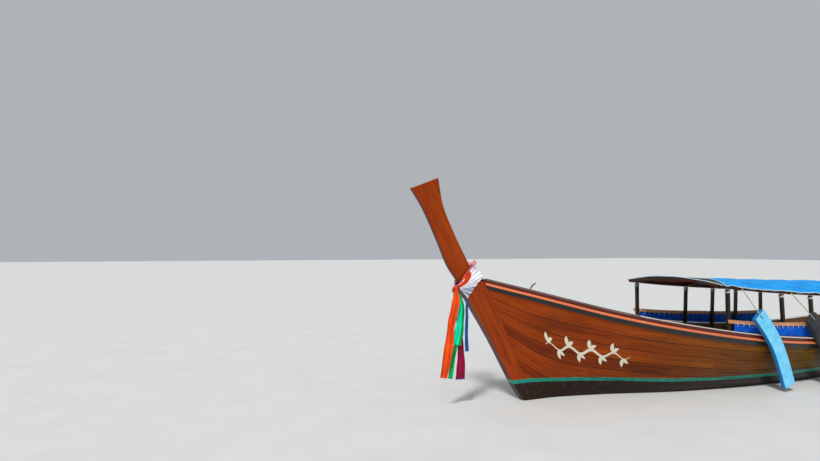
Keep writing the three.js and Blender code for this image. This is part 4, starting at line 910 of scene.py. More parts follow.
FLOWER_PINK = cloth("flower_pink", (0.70, 0.16, 0.26), (0.90, 0.45, 0.52), 0.6)
FOAM_BLUE = plastic("foam_blue", (0.08, 0.50, 0.84), (0.21, 0.68, 0.98), 0.6)
# The blue board's edges are a darker copy of its face's blue: painted shade
FOAM_EDGE_SHADED = plastic("foam_edge_painted_shade", (0.0, 0.10, 0.32), (0.005, 0.20, 0.50), 0.6)
FOAM_BLACK = plastic("foam_black", (0.008, 0.008, 0.01), (0.022, 0.024, 0.03), 0.6)
ANCHOR_STEEL = metal("anchor_steel", (0.10, 0.10, 0.10), wear=(0.42, 0.6))
TANK = plastic("tank_plastic", (0.50, 0.44, 0.28), (0.72, 0.67, 0.50), 0.45, 90.0)
RUBBER = plastic("rubber", (0.012, 0.012, 0.012), (0.035, 0.034, 0.032), 0.7)
STEELWORK = metal("steelwork", (0.12, 0.13, 0.14))
IRON = metal("engine_iron", (0.03, 0.10, 0.06), (0.02, 0.015, 0.01), 0.4, wear=(0.5, 0.7))
ALLOY = metal("engine_alloy", (0.36, 0.37, 0.38), (0.06, 0.05, 0.045), 0.45, 0.8)
BLACK_PAINT = metal("radiator_black", (0.018, 0.018, 0.02), roughness=0.35, wear=(0.62, 0.75))
EXHAUST_STEEL = metal("exhaust_steel", (0.15, 0.08, 0.05), (0.20, 0.07, 0.02), 0.75, wear=(0.35, 0.62))
BRIGHT_STEEL = metal("bright_steel", (0.55, 0.55, 0.54), (0.12, 0.06, 0.03), 0.3, 0.9, (0.6, 0.75))
BRONZE = metal("propeller_bronze", (0.62, 0.38, 0.12), (0.10, 0.12, 0.06), 0.25, 1.0, (0.6, 0.8))
ORNAMENT = paint("ornament_cream", (0.80, 0.76, 0.60), (0.45, 0.25, 0.1), 0.45, (0.72, 0.8))


# Name, line, x of the hanging rope, finishes of face and edge, slot
FENDERS = (
    ("blue", FENDER_BLUE_LINE, FENDER_BLUE_HANGS, [FOAM_BLUE, FOAM_EDGE_SHADED], "fender_blue"),
    ("black", FENDER_BLACK_LINE, FENDER_BLACK_HANGS, [FOAM_BLACK, RUBBER], "fender_black"),
)
# Name, slot, finishes, what holds it, y, line (x, z), widths from the top down, pleats, and the finish of a
# spot, where there are two, by its shares along and across
SASHES = (
    ("orange", "cloth_orange", SASH_ORANGE, "sash_knot", 0.060,
     ((5.40, 1.645), (5.425, 1.418), (5.482, 1.169), (5.522, 0.922), (5.613, 0.430)),
     (0.035, 0.130, 0.115, 0.115, 0.135, 0.122), 1.6, None),
    ("turquoise", "cloth_green", [SASH_TURQUOISE, SASH_GREEN], "sash_knot", 0.026,
     ((5.375, 1.640), (5.318, 1.411), (5.336, 1.158), (5.362, 0.969), (5.384, 0.870)),
     (0.050, 0.105, 0.125, 0.149, 0.155), 1.8, lambda along, across: 1 if across < -0.16 else 0),
    ("green", "cloth_green", SASH_GREEN, "sash_knot", 0.004,
     ((5.395, 1.640), (5.345, 1.120), (5.395, 0.830), (5.433, 0.659), (5.480, 0.399)),
     (0.020, 0.040, 0.060, 0.070, 0.068), 1.2, None),
    ("maroon", "cloth_magenta", SASH_MAROON, "sash_knot", -0.012,
     ((5.40, 1.640), (5.44, 1.20), (5.475, 0.90), (5.505, 0.65), (5.530, 0.45)),
     (0.020, 0.030, 0.035, 0.040, 0.045), 1.0, None),
    ("magenta", "cloth_magenta", [SASH_MAGENTA, SASH_BLUE], "sash_knot", -0.022,
     ((5.385, 1.640), (5.345, 1.300), (5.306, 0.900), (5.303, 0.643), (5.316, 0.371)),
     (0.030, 0.060, 0.095, 0.115, 0.155), 2.1, lambda along, across: 1 if along > 0.97 else 0),
    ("blue", "cloth_blue", SASH_BLUE, "bow_wrap", 0.084,
     ((5.262, 1.560), (5.258, 1.300), (5.258, 1.040), (5.257, 0.780)),
     (0.020, 0.045, 0.050, 0.055), 1.1, None),
)


# Hull planking, keel, stem and blade

def plank_rows(low, high, seams):
    """Girths of one run of planking and how deep each lies in a seam; every seam is a V groove"""
    edges = [low, *seams, high]
    girths, depths = [], []
    for start, end in zip(edges, edges[1:]):
        first = start + (SEAM_HALF if start != low else 0)
        final = end - (SEAM_HALF if end != high else 0)
        girths.extend(np.linspace(first, final, 5))
        depths.extend([0.0] * 5)
        if end != high:
            girths.append(end)
            depths.append(SEAM_DEPTH)
    return np.array(girths), np.array(depths)


def board_tones(girths, seams, steps):
    """A tone for each face: every plank is a few boards long, butted at a different place"""
    rows = np.searchsorted(seams, (girths[:-1] + girths[1:]) / 2)
    butts = [sorted(chance.uniform(0.1, 0.9) * steps for _ in range(2)) for _ in range(len(seams) + 1)]
    tones = [[chance.random() for _ in range(3)] for _ in butts]
    return lambda i, j: tones[rows[j]][sum(i > butt for butt in butts[rows[j]])] if j < len(rows) else 0.5


def planking(run, lengths, low, high, seams, with_bulwark):
    """Both sides of one run of planks, with the bulwark over the upper one"""
    girths, depths = plank_rows(low, high, seams)
    line = stations()
    outside = hull_point(line[:, None], girths[None, :])
    outside -= hull_normal(line[:, None], girths[None, :]) * depths[None, :, None]
    inside = inside_point(line[:, None], np.linspace(low, high, 12)[None, :], PLANK)
    if with_bulwark:
        rises = np.array([BULWARK / 2, BULWARK])
        outside = np.concatenate([outside, hull_point(line[:, None], 1.0, rises[None, :])], axis=1)
        inside = np.concatenate([inside, top_edge(line, -PLANK)[:, None]], axis=1)
    rows = np.concatenate([outside, inside[:, ::-1]], axis=1)
    seam_columns = {j for j in range(len(depths) - 1) if depths[j] or depths[j + 1]}
    edge, top = len(girths) - 1, outside.shape[1] - 1

    def finish(_, j):
        if j in seam_columns:
            return 1
        if j < edge:
            return 0
        return 2 if j <= top and with_bulwark else 3

    tone = board_tones(girths, seams, len(line))
    for side, sign in SIDES:
        shape = Shape().solid(mirrored(rows, sign), finish=finish, tone=tone)
        nodes = [f"hull_{run}_{length}_{side}" for length in lengths]
        finishes = [HULL, CAULK, BULWARK_RED, INSIDE]
        shape.build(f"planks_{run}_{side}", "root", finishes, nodes, "hull_timber")


def keel():
    line = hull_point(stations(), 0.0)
    rows = [[(x, y, z + rise) for y, rise in KEEL_BEAM] for x, _, z in line if x < KEEL_FORE_END]
    shape = Shape().solid(rows)
    shape.build("keel_beam", "root", HULL, ("keel_fore", "keel_aft"), "hull_timber", bevel=0.006)


def fair(points, each=6):
    """A fair line through (x, z) points that keeps its ends"""
    return [tuple(p) for p in smooth(points, (len(points) - 1) * each + 1)]


def stem():
    leading = [STEM_LEADING[0], *fair(STEM_LEADING[1:])]
    shape = Shape()
    outline = leading + list(RABBET)
    shape.plate(outline, -STEM_HALF, STEM_HALF, STEM_GRAIN, lambda i: 1 if i < len(leading) - 1 else 0)
    shape.plate([*STEM_INNER, *RABBET[:0:-1]], -STEM_TONGUE_HALF, STEM_TONGUE_HALF, STEM_GRAIN)
    shape.build("stem_post", "root", [STEM, EDGE_RED], "stem", "stem_timber", bevel=0.007, segments=3)


def prow_blade():
    leading, aft = fair(BLADE_LEADING), fair(BLADE_AFT)
    edges = len(leading) - 1

    def rim(i):
        if i < edges:
            return 1
        return 3 if i == edges else 2

    shape = Shape().plate(leading + aft, -BLADE_HALF, BLADE_HALF, STEM_GRAIN, rim)
    finishes = [STEM, EDGE_RED, EDGE_DARK, WEATHERED]
    shape.build("prow_board", "root", finishes, "prow_blade", "stem_timber", bevel=0.009, segments=3)


def transom():
    girths = np.concatenate([np.linspace(0, 1, 24), [1.0]])
    rises = np.concatenate([np.zeros(24), [BULWARK]])
    port = hull_point(float(LAST), girths, rises)
    outline = np.concatenate([port, mirrored(port, -1)[::-1]])
    rake = unit(port[-1] - port[0]) * (1, 0, 1)
    aftward = unit(np.array([-rake[2], 0, rake[0]]))
    shape = Shape().solid([outline + aftward * face for face in TRANSOM_FACES])
    shape.build("transom_board", "root", HULL, "transom", "hull_timber", bevel=0.006)


# Rails

def hull_frame(line):
    """Sheer points with their outward and upward directions"""
    sheer = hull_point(line, 1.0)
    return sheer, hull_normal(line, 0.97), unit(hull_point(line, 1.0, 0.01) - sheer)


def rails():
    """The half-round rub rail and the black strake under it, whose black is partly the rail's shadow painted in
    """
    sheer, out, up = hull_frame(stations())
    bulge = [(0.016 + 0.024 * math.cos(a), -0.02 + 0.019 * math.sin(a)) for a in np.linspace(-1.4, 1.4, 9)]
    half_round = [(-0.004, -0.039), *bulge, (-0.004, -0.001)]
    strake = rounded(*STRAKE_AND_SHADOW_CORNERS, 0.004)
    for side, sign in SIDES:
        for name, section, look in (("rail", half_round, RAIL_ORANGE), ("strake", strake, STRAKE_BLACK)):
            shape = Shape().sweep(mirrored(sheer, sign), section, mirrored(out, sign), mirrored(up, sign))
            shape.build(f"{name}_{side}", "root", look, f"rub_rail_{side}", "rail_paint")


def cap_rails():
    line = stations()
    section = rounded(*CAP_CORNERS, 0.006)
    rows = np.stack([top_edge(line, a) + (0, 0, b) for a, b in section], axis=1)

    def finish(i, j):
        edge = min(section[j, 0], section[(j + 1) % len(section), 0])
        return 1 if edge > CAP_DARK_EDGE and rows[i, 0, 0] > CAP_DARK_FROM else 0

    for side, sign in SIDES:
        shape = Shape().solid(mirrored(rows, sign), finish=finish)
        shape.build(f"cap_{side}", "root", [CAP_GREY, STRAKE_BLACK], f"cap_rail_{side}", "cap_paint")


# Inside of the hull

def rib_rows(station, girths):
    length = np.linalg.norm(hull_point(station - 0.5, 0.5) - hull_point(station + 0.5, 0.5))
    span = RIB_WIDTH / 2 / length
    corners = ((-1, RIB_OUTER), (1, RIB_OUTER), (1, RIB_INNER), (-1, RIB_INNER))
    rows = np.stack([inside_point(station + end * span, girths, inset) for end, inset in corners], axis=1)
    middle = rows[:1] * (1, 0, 1)
    return np.concatenate([mirrored(rows, -1)[::-1], middle, rows])


def inside_at(station, z, inset):
    row = inside_point(station, np.linspace(0, 1, 41), inset)
    return [float(np.interp(z, row[:, 2], row[:, k])) for k in range(3)]


def rib_top(station):
    """How far up the ribs go: to the decks at the ends, to the sheer between them"""
    fore, middle, aft = RIB_TOPS
    if station < FORE_RIBS_BEFORE:
        return fore
    return aft if sheer_station_x(station) < AFT_RIBS_FROM else middle


def frames():
    shape = Shape()
    for station in RIB_STATIONS:
        shape.solid(rib_rows(station, np.linspace(0, rib_top(station), 16)))
    low, high = RISER
    corners = ((low, RIB_OUTER), (high, RIB_OUTER), (high, RISER_INNER), (low, RISER_INNER))
    rows = [[inside_at(station, z, inset) for z, inset in corners] for station in stations(*RISER_STATIONS, 6)]
    for _, sign in SIDES:
        shape.solid(mirrored(rows, sign))
    shape.build("ribs_and_risers", "root", RIB, "frames", "frame_timber", bevel=0.003)


def sheer_station_x(station):
    return float(hull_point(station, 1.0)[0])


def floorboards():
    """Long boards side by side, each ending where the hull closes in on its outer edge"""
    low, high = FLOOR_Z
    xs = np.linspace(*FLOOR_X, 60)
    clear = np.array([half_width(x, low, RIB_INNER + 0.016) for x in xs])
    edge = (FLOOR_BOARD - BOARD_GAP) / 2
    shape = Shape()
    for board in range(-4, 5):
        centre = board * FLOOR_BOARD
        usable = xs[clear > abs(centre) + FLOOR_BOARD / 2 - 0.02]
        if len(usable) < 2:
            continue
        shape.box((usable[0], centre - edge, low), (usable[-1], centre + edge, high))
    shape.build("floor_planks", "root", BOARDS, "floorboards", "deck_timber", bevel=0.003)


def cross_board(shape, fore, aft, top, thickness, inset, slope=0.0):
    """A board across the hull between two x, cut to the hull's sides"""
    quads = []
    for sign in (1, -1):
        quad = []
        for x, z in ((fore, top - thickness), (aft, top - thickness), (aft, top), (fore, top)):
            rise = slope * (x - aft)
            quad.append((x, sign * half_width(x, z + rise, inset), z + rise))
        quads.append(quad)
    shape.solid(quads)


def shank_at(x):
    """Centre and radius of the anchor's shank"""
    t = (ANCHOR_CROWN[0] - x) / (ANCHOR_CROWN[0] - ANCHOR_RING[0])
    thick, thin = SHANK_RADII
    return [a + (b - a) * t for a, b in zip(ANCHOR_CROWN, ANCHOR_RING)], thick - (thick - thin) * t


def chocks(shape):
    """Two blocks on the foredeck, hollowed for the anchor's shank"""
    length, width = CHOCK_SIZE
    half = width / 2
    inward, down = CHOCK_CHAMFER
    under = np.linspace(0, -math.pi, 13)
    for middle in CHOCK_X:
        rows = []
        for x in (middle - length / 2, middle + length / 2):
            (_, y, z), radius = shank_at(x)
            low = foredeck_top(x) - CHOCK_FOOT
            hollow = radius + 0.001
            groove = [(y + hollow * math.cos(a), z + hollow * math.sin(a)) for a in under]
            outline = [
                (y - half, low), (y + half, low), (y + half, z - down), (y + half - inward, z), *groove,
                (y - half + inward, z), (y - half, z - down),
            ]
            rows.append([(x, a, b) for a, b in outline])
        shape.solid(rows)


def decks():
    shape = Shape()
    chocks(shape)
    edge, limit = FOREDECK_AFT_END, sheer_station_x(FOREDECK_FORE_STATION)
    while edge < limit - 0.03:
        fore = min(edge + DECK_BOARD, limit)
        z0, z1 = foredeck_top(edge), foredeck_top(fore - BOARD_GAP)
        slope = (z1 - z0) / (fore - BOARD_GAP - edge)
        cross_board(shape, fore - BOARD_GAP, edge, z0, DECK_THICKNESS, PLANK + 0.001, slope)
        edge = fore
    shape.build("foredeck_planks", "root", BOARDS, "foredeck", "deck_timber", bevel=0.003)
    shape = Shape()
    edge, limit = AFT_DECK_X
    while edge > limit:
        cross_board(shape, edge - BOARD_GAP, edge - DECK_BOARD, AFT_DECK_TOP, DECK_THICKNESS, PLANK + 0.001)
        edge -= DECK_BOARD
    shape.build("aft_deck_planks", "root", BOARDS, "aft_deck", "deck_timber", bevel=0.003)


def thwarts():
    for number in range(1, 5):
        low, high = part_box(f"thwart_{number}")
        middle = (low.x + high.x) / 2
        shape = Shape()
        for aft, fore in ((low.x, middle - BOARD_GAP / 2), (middle + BOARD_GAP / 2, high.x)):
            cross_board(shape, fore, aft, high.z, high.z - low.z, PLANK + 0.002)
        shape.build(f"thwart_{number}_planks", "root", BOARDS, f"thwart_{number}", "deck_timber", bevel=0.004)


# Canopy

def roof_line(x):
    """Eave and crown heights at x"""
    xs = np.array([row[0] for row in ROOF])
    rows = curve(ROOF, np.interp(-np.asarray(x, float), -xs, np.arange(len(ROOF))))
    return rows[:, 1], rows[:, 2]


def roof_height(x, y):
    x, y = np.broadcast_arrays(np.asarray(x, float), np.asarray(y, float))
    eave, crown = roof_line(x.ravel())
    return (eave + (crown - eave) * (1 - (y.ravel() / ROOF_HALF) ** 2)).reshape(x.shape)


def post_head(x):
    return float(roof_height(x - POST_SIZE / 2, 0.97)) - ROOF_UNDER - 0.043


def post_y(x, z):
    foot_y = float(sheer_at(x)[1]) - POST_FOOT_INSIDE
    return foot_y + (POST_HEAD_Y - foot_y) * (z - RISER[1]) / (post_head(x) - RISER[1])


def post_corners(x, z):
    """The post's four corners at a height, planed off where the planking is in its way"""
    half = POST_SIZE / 2
    outer = post_y(x, z) + half
    if z < top_edge_z(x):
        outer = min(outer, *(half_width(x + a, z, PLANK + 0.001) for a in (-half, half)))
    inner = min(post_y(x, z) - half, outer - 0.004)
    return [(x - half, inner, z), (x + half, inner, z), (x + half, outer, z), (x - half, outer, z)]


def posts():
    """Each post with three turns of white lashing under its head"""
    corners = ((1, 1, 0), (-1, 1, 1), (-1, -1, 0), (1, -1, -1), (1, 1, 0))
    out = 1.16 * POST_SIZE / 2
    for number, x in enumerate(POST_X, 1):
        foot, head = RISER[1] + 0.0004, post_head(x)
        port = [post_corners(x, z) for z in (*np.linspace(foot, float(top_edge_z(x)), 12), head)]
        for side, sign in SIDES:
            shape = Shape().solid(mirrored(port, sign))
            for turn in range(3):
                z = head - 0.03 - 0.011 * turn
                middle = np.array((x, sign * post_y(x, z), z))
                shape.tube([middle + (out * a, out * b, 0.004 * c) for a, b, c in corners], 0.0045, 6, finish=1)
            node = f"canopy_post_{side}_{number}"
            shape.build(f"post_{side}_{number}", "root", [POST, LASHING], node, "post_timber", bevel=0.004)


def roof_timber(shape, size, middle, run, across=False):
    """A bent timber under the cover: at y = middle along the boat, or at x = middle across it"""
    half, depth = size
    near, far = (middle + half, middle - half) if across else (middle - half, middle + half)
    rows = []
    for other in run:
        corners = []
        for edge, drop in ((near, 0), (far, 0), (far, depth), (near, depth)):
            x, y = (edge, other) if across else (other, edge)
            corners.append((x, y, float(roof_height(x, y)) - (ROOF_UNDER + drop)))
        rows.append(corners)
    shape.solid(rows)


def roof_frame():
    shape = Shape()
    fore, aft = ROOF[0][0] - 0.005, ROOF[-1][0] + 0.005
    lengthwise, crosswise = np.linspace(fore, aft, 41), np.linspace(-POST_HEAD_Y, POST_HEAD_Y, 33)
    for y in (-POST_HEAD_Y, POST_HEAD_Y):
        roof_timber(shape, EAVE_RAIL, y, lengthwise)
    for y in BATTEN_Y:
        roof_timber(shape, ROOF_BATTEN, y, lengthwise)
    for x in (fore - ROOF_HOOP[0], *POST_X, aft + ROOF_HOOP[0]):
        roof_timber(shape, ROOF_HOOP, x, crosswise, across=True)
    shape.build("roof_timbers", "root", ROOF_WOOD, "roof_frame", "batten_timber", bevel=0.004)


def sag(x):
    """How far the cover hangs between the hoops at x"""
    hoops = np.array(sorted((ROOF[0][0], *POST_X, ROOF[-1][0])))
    i = np.clip(np.searchsorted(hoops, x) - 1, 0, len(hoops) - 2)
    t = (x - hoops[i]) / (hoops[i + 1] - hoops[i])
    return COVER_SAG * np.sin(math.pi * np.clip(t, 0, 1)) ** 2


def cover(name, node, edges, lift, look, slot, flat):
    """A laced sheet over the roof; edges gives its fore and aft x at each y, flat its width, length and area,
    which are not used
    """
    ys = np.linspace(-ROOF_HALF, ROOF_HALF, 61)
    tops = []
    for s in np.linspace(0, 1, 91):
        row = []
        for y in ys:
            fore, aft = edges(y)
            x = fore + (aft - fore) * s
            ripple = 0.0035 * math.sin(9 * x + 3 * y) * math.cos(7 * y) + 0.003 * math.sin(23 * x) * abs(y)
            row.append((x, y, float(roof_height(x, y)) - float(sag(x)) + lift + ripple))
        tops.append(row)
    tops = np.array(tops)
    rows = np.concatenate([tops, tops[:, ::-1] - (0, 0, COVER_THICKNESS)], axis=1)
    shape = Shape().solid(rows, finish=lambda _, j: 1 if j >= len(ys) - 1 else 0, tone=0.5)
    piece = shape.build(name, "root", look, node, slot)
    hem = Shape()
    edge = tops + (0, 0, -0.001)
    for line, finish in ((edge[0], 0), (edge[-1], 0), (edge[:, 0], 1), (edge[:, -1], 1)):
        hem.tube(line, 0.008, 8, finish=finish)
    hem_piece = hem.build(f"{name}_hem", "root", [HEM, HEM if slot == "roof_tarp" else CANVAS_TOP], (), slot)
    width, length, area = flat


def roof_covers():
    def tarp_edge(y):
        (x0, y0), (x1, y1) = TARP_EDGE
        return x0 + (x1 - x0) * (y - y0) / (y1 - y0)

    cover("canvas", "roof_cover_front", lambda y: (ROOF[0][0], tarp_edge(y) - COVER_OVERLAP), -0.006,
          [CANVAS_TOP, CANVAS_UNDER], "roof_canvas", (2.05, 1.9, 2.1))
    cover("tarpaulin", "roof_cover_rear", lambda y: (tarp_edge(y), ROOF[-1][0]), 0.001,
          [TARP, TARP_UNDERSIDE_SHADED], "roof_tarp", (2.05, 3.5, 5.6))


def beside_posts(x, z, out):
    return (x, post_y(x, z) + POST_SIZE / 2 + out, z)


def rail_height(x):
    """Top of the side rail, which rises over the cap from its fore end to its middle"""
    fore, aft = SIDE_RAIL_X
    t = (fore - x) / (fore - aft)
    return float(top_edge_z(x)) + CAP_CORNERS[1][1] + SIDE_RAIL_HEIGHT + SIDE_RAIL_RISE * min(1.0, t * 2)


def side_rails():
    near, far = SIDE_RAIL_OUT
    rows = []
    for x in np.linspace(*SIDE_RAIL_X, 48):
        top = rail_height(x)
        low = top - SIDE_RAIL_DEPTH
        corners = ((low, near), (low, far), (top, far), (top, near))
        rows.append([beside_posts(x, z, out) for z, out in corners])
    for side, sign in SIDES:
        shape = Shape().solid(mirrored(rows, sign))
        shape.build(f"hand_rail_{side}", "root", BATTEN, f"side_rail_{side}", "batten_timber", bevel=0.005)


def side_cloth_row(x):
    """The cloth's section at x, in loose folds that flatten towards the rail"""
    low, high = float(top_edge_z(x)) + 0.03, rail_height(x) - 0.05
    front, back = [], []
    for t in np.linspace(0, 1, 9):
        z = low + (high - low) * t
        fold = 0.018 + (0.008 * math.sin(31 * x) + 0.004 * math.sin(83 * x)) * (1 - 0.7 * t)
        front.append(beside_posts(x, z, fold + 0.0015))
        back.append(beside_posts(x, z, fold - 0.0015))
    return front + back[::-1]


def weather_cloths():
    """Cloths along both sides, each laced over the side rail"""
    rows = [side_cloth_row(x) for x in np.linspace(*SIDE_CLOTH_X, 160)]
    turn = ((0.0, -0.09, 0.024), (0.01, -0.045, 0.037), (0.03, 0.004, 0.02), (0.045, -0.03, -0.001),
            (0.05, -0.09, 0.016))
    for side, sign in SIDES:
        shape = Shape().solid(mirrored(rows, sign), tone=0.5)
        piece = shape.build(f"side_cloth_{side}", "root", SIDE_CLOTH, f"weather_cloth_{side}", "side_cloth")
        ties = Shape()
        for x in TIE_X:
            top = rail_height(x)
            path = [beside_posts(x + ahead, top + rise, out) for ahead, rise, out in turn]
            ties.tube(mirrored(path, sign), 0.0035, 6, count=14)
        lacing = ties.build(f"lacing_{side}", "root", LASHING, (), "side_cloth")


# Bow ornament

def on_hull(station, girth, out):
    return hull_point(station, girth) + hull_normal(station, girth) * out


def scroll(path, width):
    """A painted band on the port bow; path holds (along, up) offsets from the ornament's middle, in metres"""
    path = smooth(path, 34)
    across = unit(np.gradient(path, axis=0))[:, ::-1] * (-1, 1)
    taper = np.sin(np.linspace(0.12, math.pi - 0.12, len(path)))[:, None] * width / 2
    (station, girth), (length, height) = ORNAMENT_PLACE, ORNAMENT_METRES
    rows = []
    for offset, out in ((-1, 0.0002), (-1, 0.0016), (1, 0.0016), (1, 0.0002)):
        a, b = (path + across * taper * offset).T
        rows.append(on_hull(station + a / length, girth + 0.02 * a + b / height, out))
    return np.stack(rows, axis=1)


def ornament():
    """A vine with leaves on both bows"""
    reach, pitch, swing = 0.72, 0.36, 0.035
    vine = [(a, swing * math.sin(2 * math.pi * a / pitch)) for a in np.linspace(-reach, reach, 41)]
    bands = [scroll(vine, 0.034)]
    for i in range(8):
        up = 1 if i % 2 else -1
        x, y = -reach + pitch / 4 + i * pitch / 2 - 0.02, -up * swing * 0.9
        for lean, rise, width in ((0.095, 0.06, 0.046), (-0.005, 0.115, 0.06)):
            tip = (x + lean, y - up * rise)
            middle = ((x + tip[0]) / 2 - 0.012, (y + tip[1]) / 2 + 0.004)
            bands.append(scroll([(x, y), middle, tip], width))
    for side, sign in SIDES:
        shape = Shape()
        for rows in bands:
            shape.solid(mirrored(rows, sign))
        shape.build(f"bow_ornament_{side}", "root", ORNAMENT, (), "cap_paint")


# Fenders

def fender_hole(line):
    """Middle of the rope's hole, a little way down the board"""
    path = smooth([(x, FENDER_Y, z) for x, z in line], 201)
    run = np.concatenate([[0], np.cumsum(np.linalg.norm(np.diff(path, axis=0), axis=1))])
    return np.array([np.interp(FENDER_HOLE_DEPTH, run, path[:, k]) for k in range(3)])


def fender_rope(line, hang_x):
    """Through the board's hole, over its top and up to the eave rail, with three turns round the rail"""
    shape = Shape()
    x, z = line[0]
    rail_z = float(roof_height(hang_x, POST_HEAD_Y)) - ROOF_UNDER - EAVE_RAIL[1] / 2
    hole = fender_hole(line)
    out = FENDER_SIZE[1] / 2 + ROPE_RADIUS
    over = [hole + (0, -out - 0.006, 0), hole, hole + (0, out, 0.004), (x, FENDER_Y + out, z - 0.01),
            (x + 0.004, FENDER_Y + out * 0.6, z + 0.012)]
    up = [(hang_x, 1.0, rail_z - 0.03), (hang_x, 0.985, rail_z - 0.012)]
    shape.tube(np.concatenate([smooth(over, 24), up]), ROPE_RADIUS, 10)
    shape.ball(hole + (0, -out - 0.012, 0), (0.017, 0.013, 0.017))
    for turn in (-1, 0, 1):
        loop = [(hang_x + 0.012 * turn, POST_HEAD_Y + 0.043 * math.cos(a), rail_z + 0.028 * math.sin(a))
                for a in turns(24)]
        shape.sweep(loop, ring(0.0055, 8), close=True)
    return shape


def fenders():
    """Foam boards with a rounded end each way, and their ropes"""
    width, thickness = FENDER_SIZE
    section = rounded((-width / 2, -thickness / 2), (width / 2, thickness / 2), 0.012)
    ends = np.array([0, 0.0015, 0.004, 0.009, 0.016, 0.026])
    steps = np.concatenate([ends, np.linspace(0.04, 0.96, 40), 1 - ends[::-1]])
    near_end = np.clip(1 - np.minimum(steps, 1 - steps) / ends[-1], 0, 1)
    shares = 1 - 0.16 * (1 - np.sqrt(1 - near_end**2))
    # Faces along both long edges take the second finish; on the blue board that is a darker blue as painted
    # shade
    at_edge = np.abs(section[:, 0]) > width / 2 - 0.01

    def finish(_, j):
        return 1 if at_edge[j] and at_edge[(j + 1) % len(section)] else 0

    for name, line, hang_x, faces, slot in FENDERS:
        path = curve([(x, FENDER_Y, z) for x, z in line], steps * (len(line) - 1))
        side = np.cross(unit(np.gradient(path, axis=0)), (0, 1, 0))
        rows = [p + section[:, :1] * s * share + section[:, 1:] * (0, 1, 0) * (0.75 + 0.25 * share)
                for p, s, share in zip(path, side, shares)]
        hole = fender_hole(line)
        shape = Shape().solid(rows, finish=finish)
        shape.build(f"fender_board_{name}", "root", faces, f"fender_{name}", slot, bevel=0.003,
                    holes=[(hole - (0, 0.06, 0), hole + (0, 0.06, 0), FENDER_HOLE_RADIUS)])
        fender_rope(line, hang_x).build(f"fender_rope_{name}", "root", ROPE, f"fender_{name}", slot)


# Cloths on the bow

def ribbon(points, widths, y, pleats, phase):
    """Rows of a pleated strip hanging through (x, z) points, and its flat width and length"""
    path = smooth([(x, y, z) for x, z in points], SASH_ROWS)
    t = np.linspace(0, 1, SASH_ROWS)
    width = np.interp(t, np.linspace(0, 1, len(widths)), widths)
    edge = 1 + 0.05 * np.sin(17 * t + phase)
    sway = 0.006 * np.sin(5 * t + phase) * t
    side = np.cross((0, 1, 0), unit(np.gradient(path, axis=0)))
    side *= np.sign(side[:, :1])
    down, across = t[:, None], np.linspace(-0.5, 0.5, SASH_COLUMNS)[None, :]
    depth = SASH_PLEAT * (0.35 + 0.65 * down) * np.sin(2 * math.pi * pleats * across + phase + 2.2 * down)
    depth += 0.004 * np.sin(9 * down + phase) + 0.002 * np.sin(31 * down + 7 * across)
    offset = across * (width * edge)[:, None] + sway[:, None]
    front = path[:, None] + side[:, None] * offset[:, :, None] + depth[:, :, None] * (0, 1, 0)
    rows = np.concatenate([front + (0, CLOTH / 2, 0), front[:, ::-1] - (0, CLOTH / 2, 0)], axis=1)
    length = np.linalg.norm(np.diff(path, axis=0), axis=1).sum()
    developed = np.linalg.norm(np.diff(front, axis=1), axis=2).sum(axis=1).mean()
    return rows, (round(float(developed), 3), round(float(length), 3))


def sashes():
    for name, slot, finishes, holder, y, line, widths, pleats, parts in SASHES:
        rows, flat = ribbon(line, widths, y, pleats, 9 * y + len(name))

        def finish(i, j):
            column = j if j < SASH_COLUMNS else 2 * SASH_COLUMNS - 1 - j
            return parts(i / SASH_ROWS, column / SASH_COLUMNS - 0.5)

        shape = Shape().solid(rows, finish=finish if parts else 0, tone=0.5)
        piece = shape.build(f"sash_{name}", "root", finishes, "bow_sashes", slot)


def sash_knot():
    """Three cloths tied round each other"""
    shape = Shape()
    a = turns(48)
    for number, (size, tilt, turn) in enumerate(((1.0, 0.3, 0.0), (0.86, -0.5, 1.9), (0.7, 1.1, 0.8))):
        loop = np.stack([0.024 * np.cos(a), 0.05 * np.sin(a), 0.022 * np.sin(2 * a + turn)], axis=1)
        spin = np.array(Matrix.Rotation(tilt, 3, "X") @ Matrix.Rotation(turn, 3, "Y"))
        path = loop * size @ spin.T + KNOT
        shape.sweep(path, ring(0.017, 14, 0.8), close=True, finish=number, tone=0.5)
    shape.ball(KNOT, (0.034, 0.05, 0.036), finish=0)
    finishes = [SASH_ORANGE, SASH_MAGENTA, SASH_GREEN]
    shape.build("sash_knot", "root", finishes, "bow_sashes", "cloth_orange", angle=60)


def wrap_side(z):
    """Half the width of what the cloth lies on: the stem, or the blade over it"""
    stem_half, blade_half = STEM_AND_BLADE_HALF
    step = np.clip((z - 1.775) / 0.09, 0, 1)
    return stem_half + (blade_half - stem_half) * step * step * (3 - 2 * step)


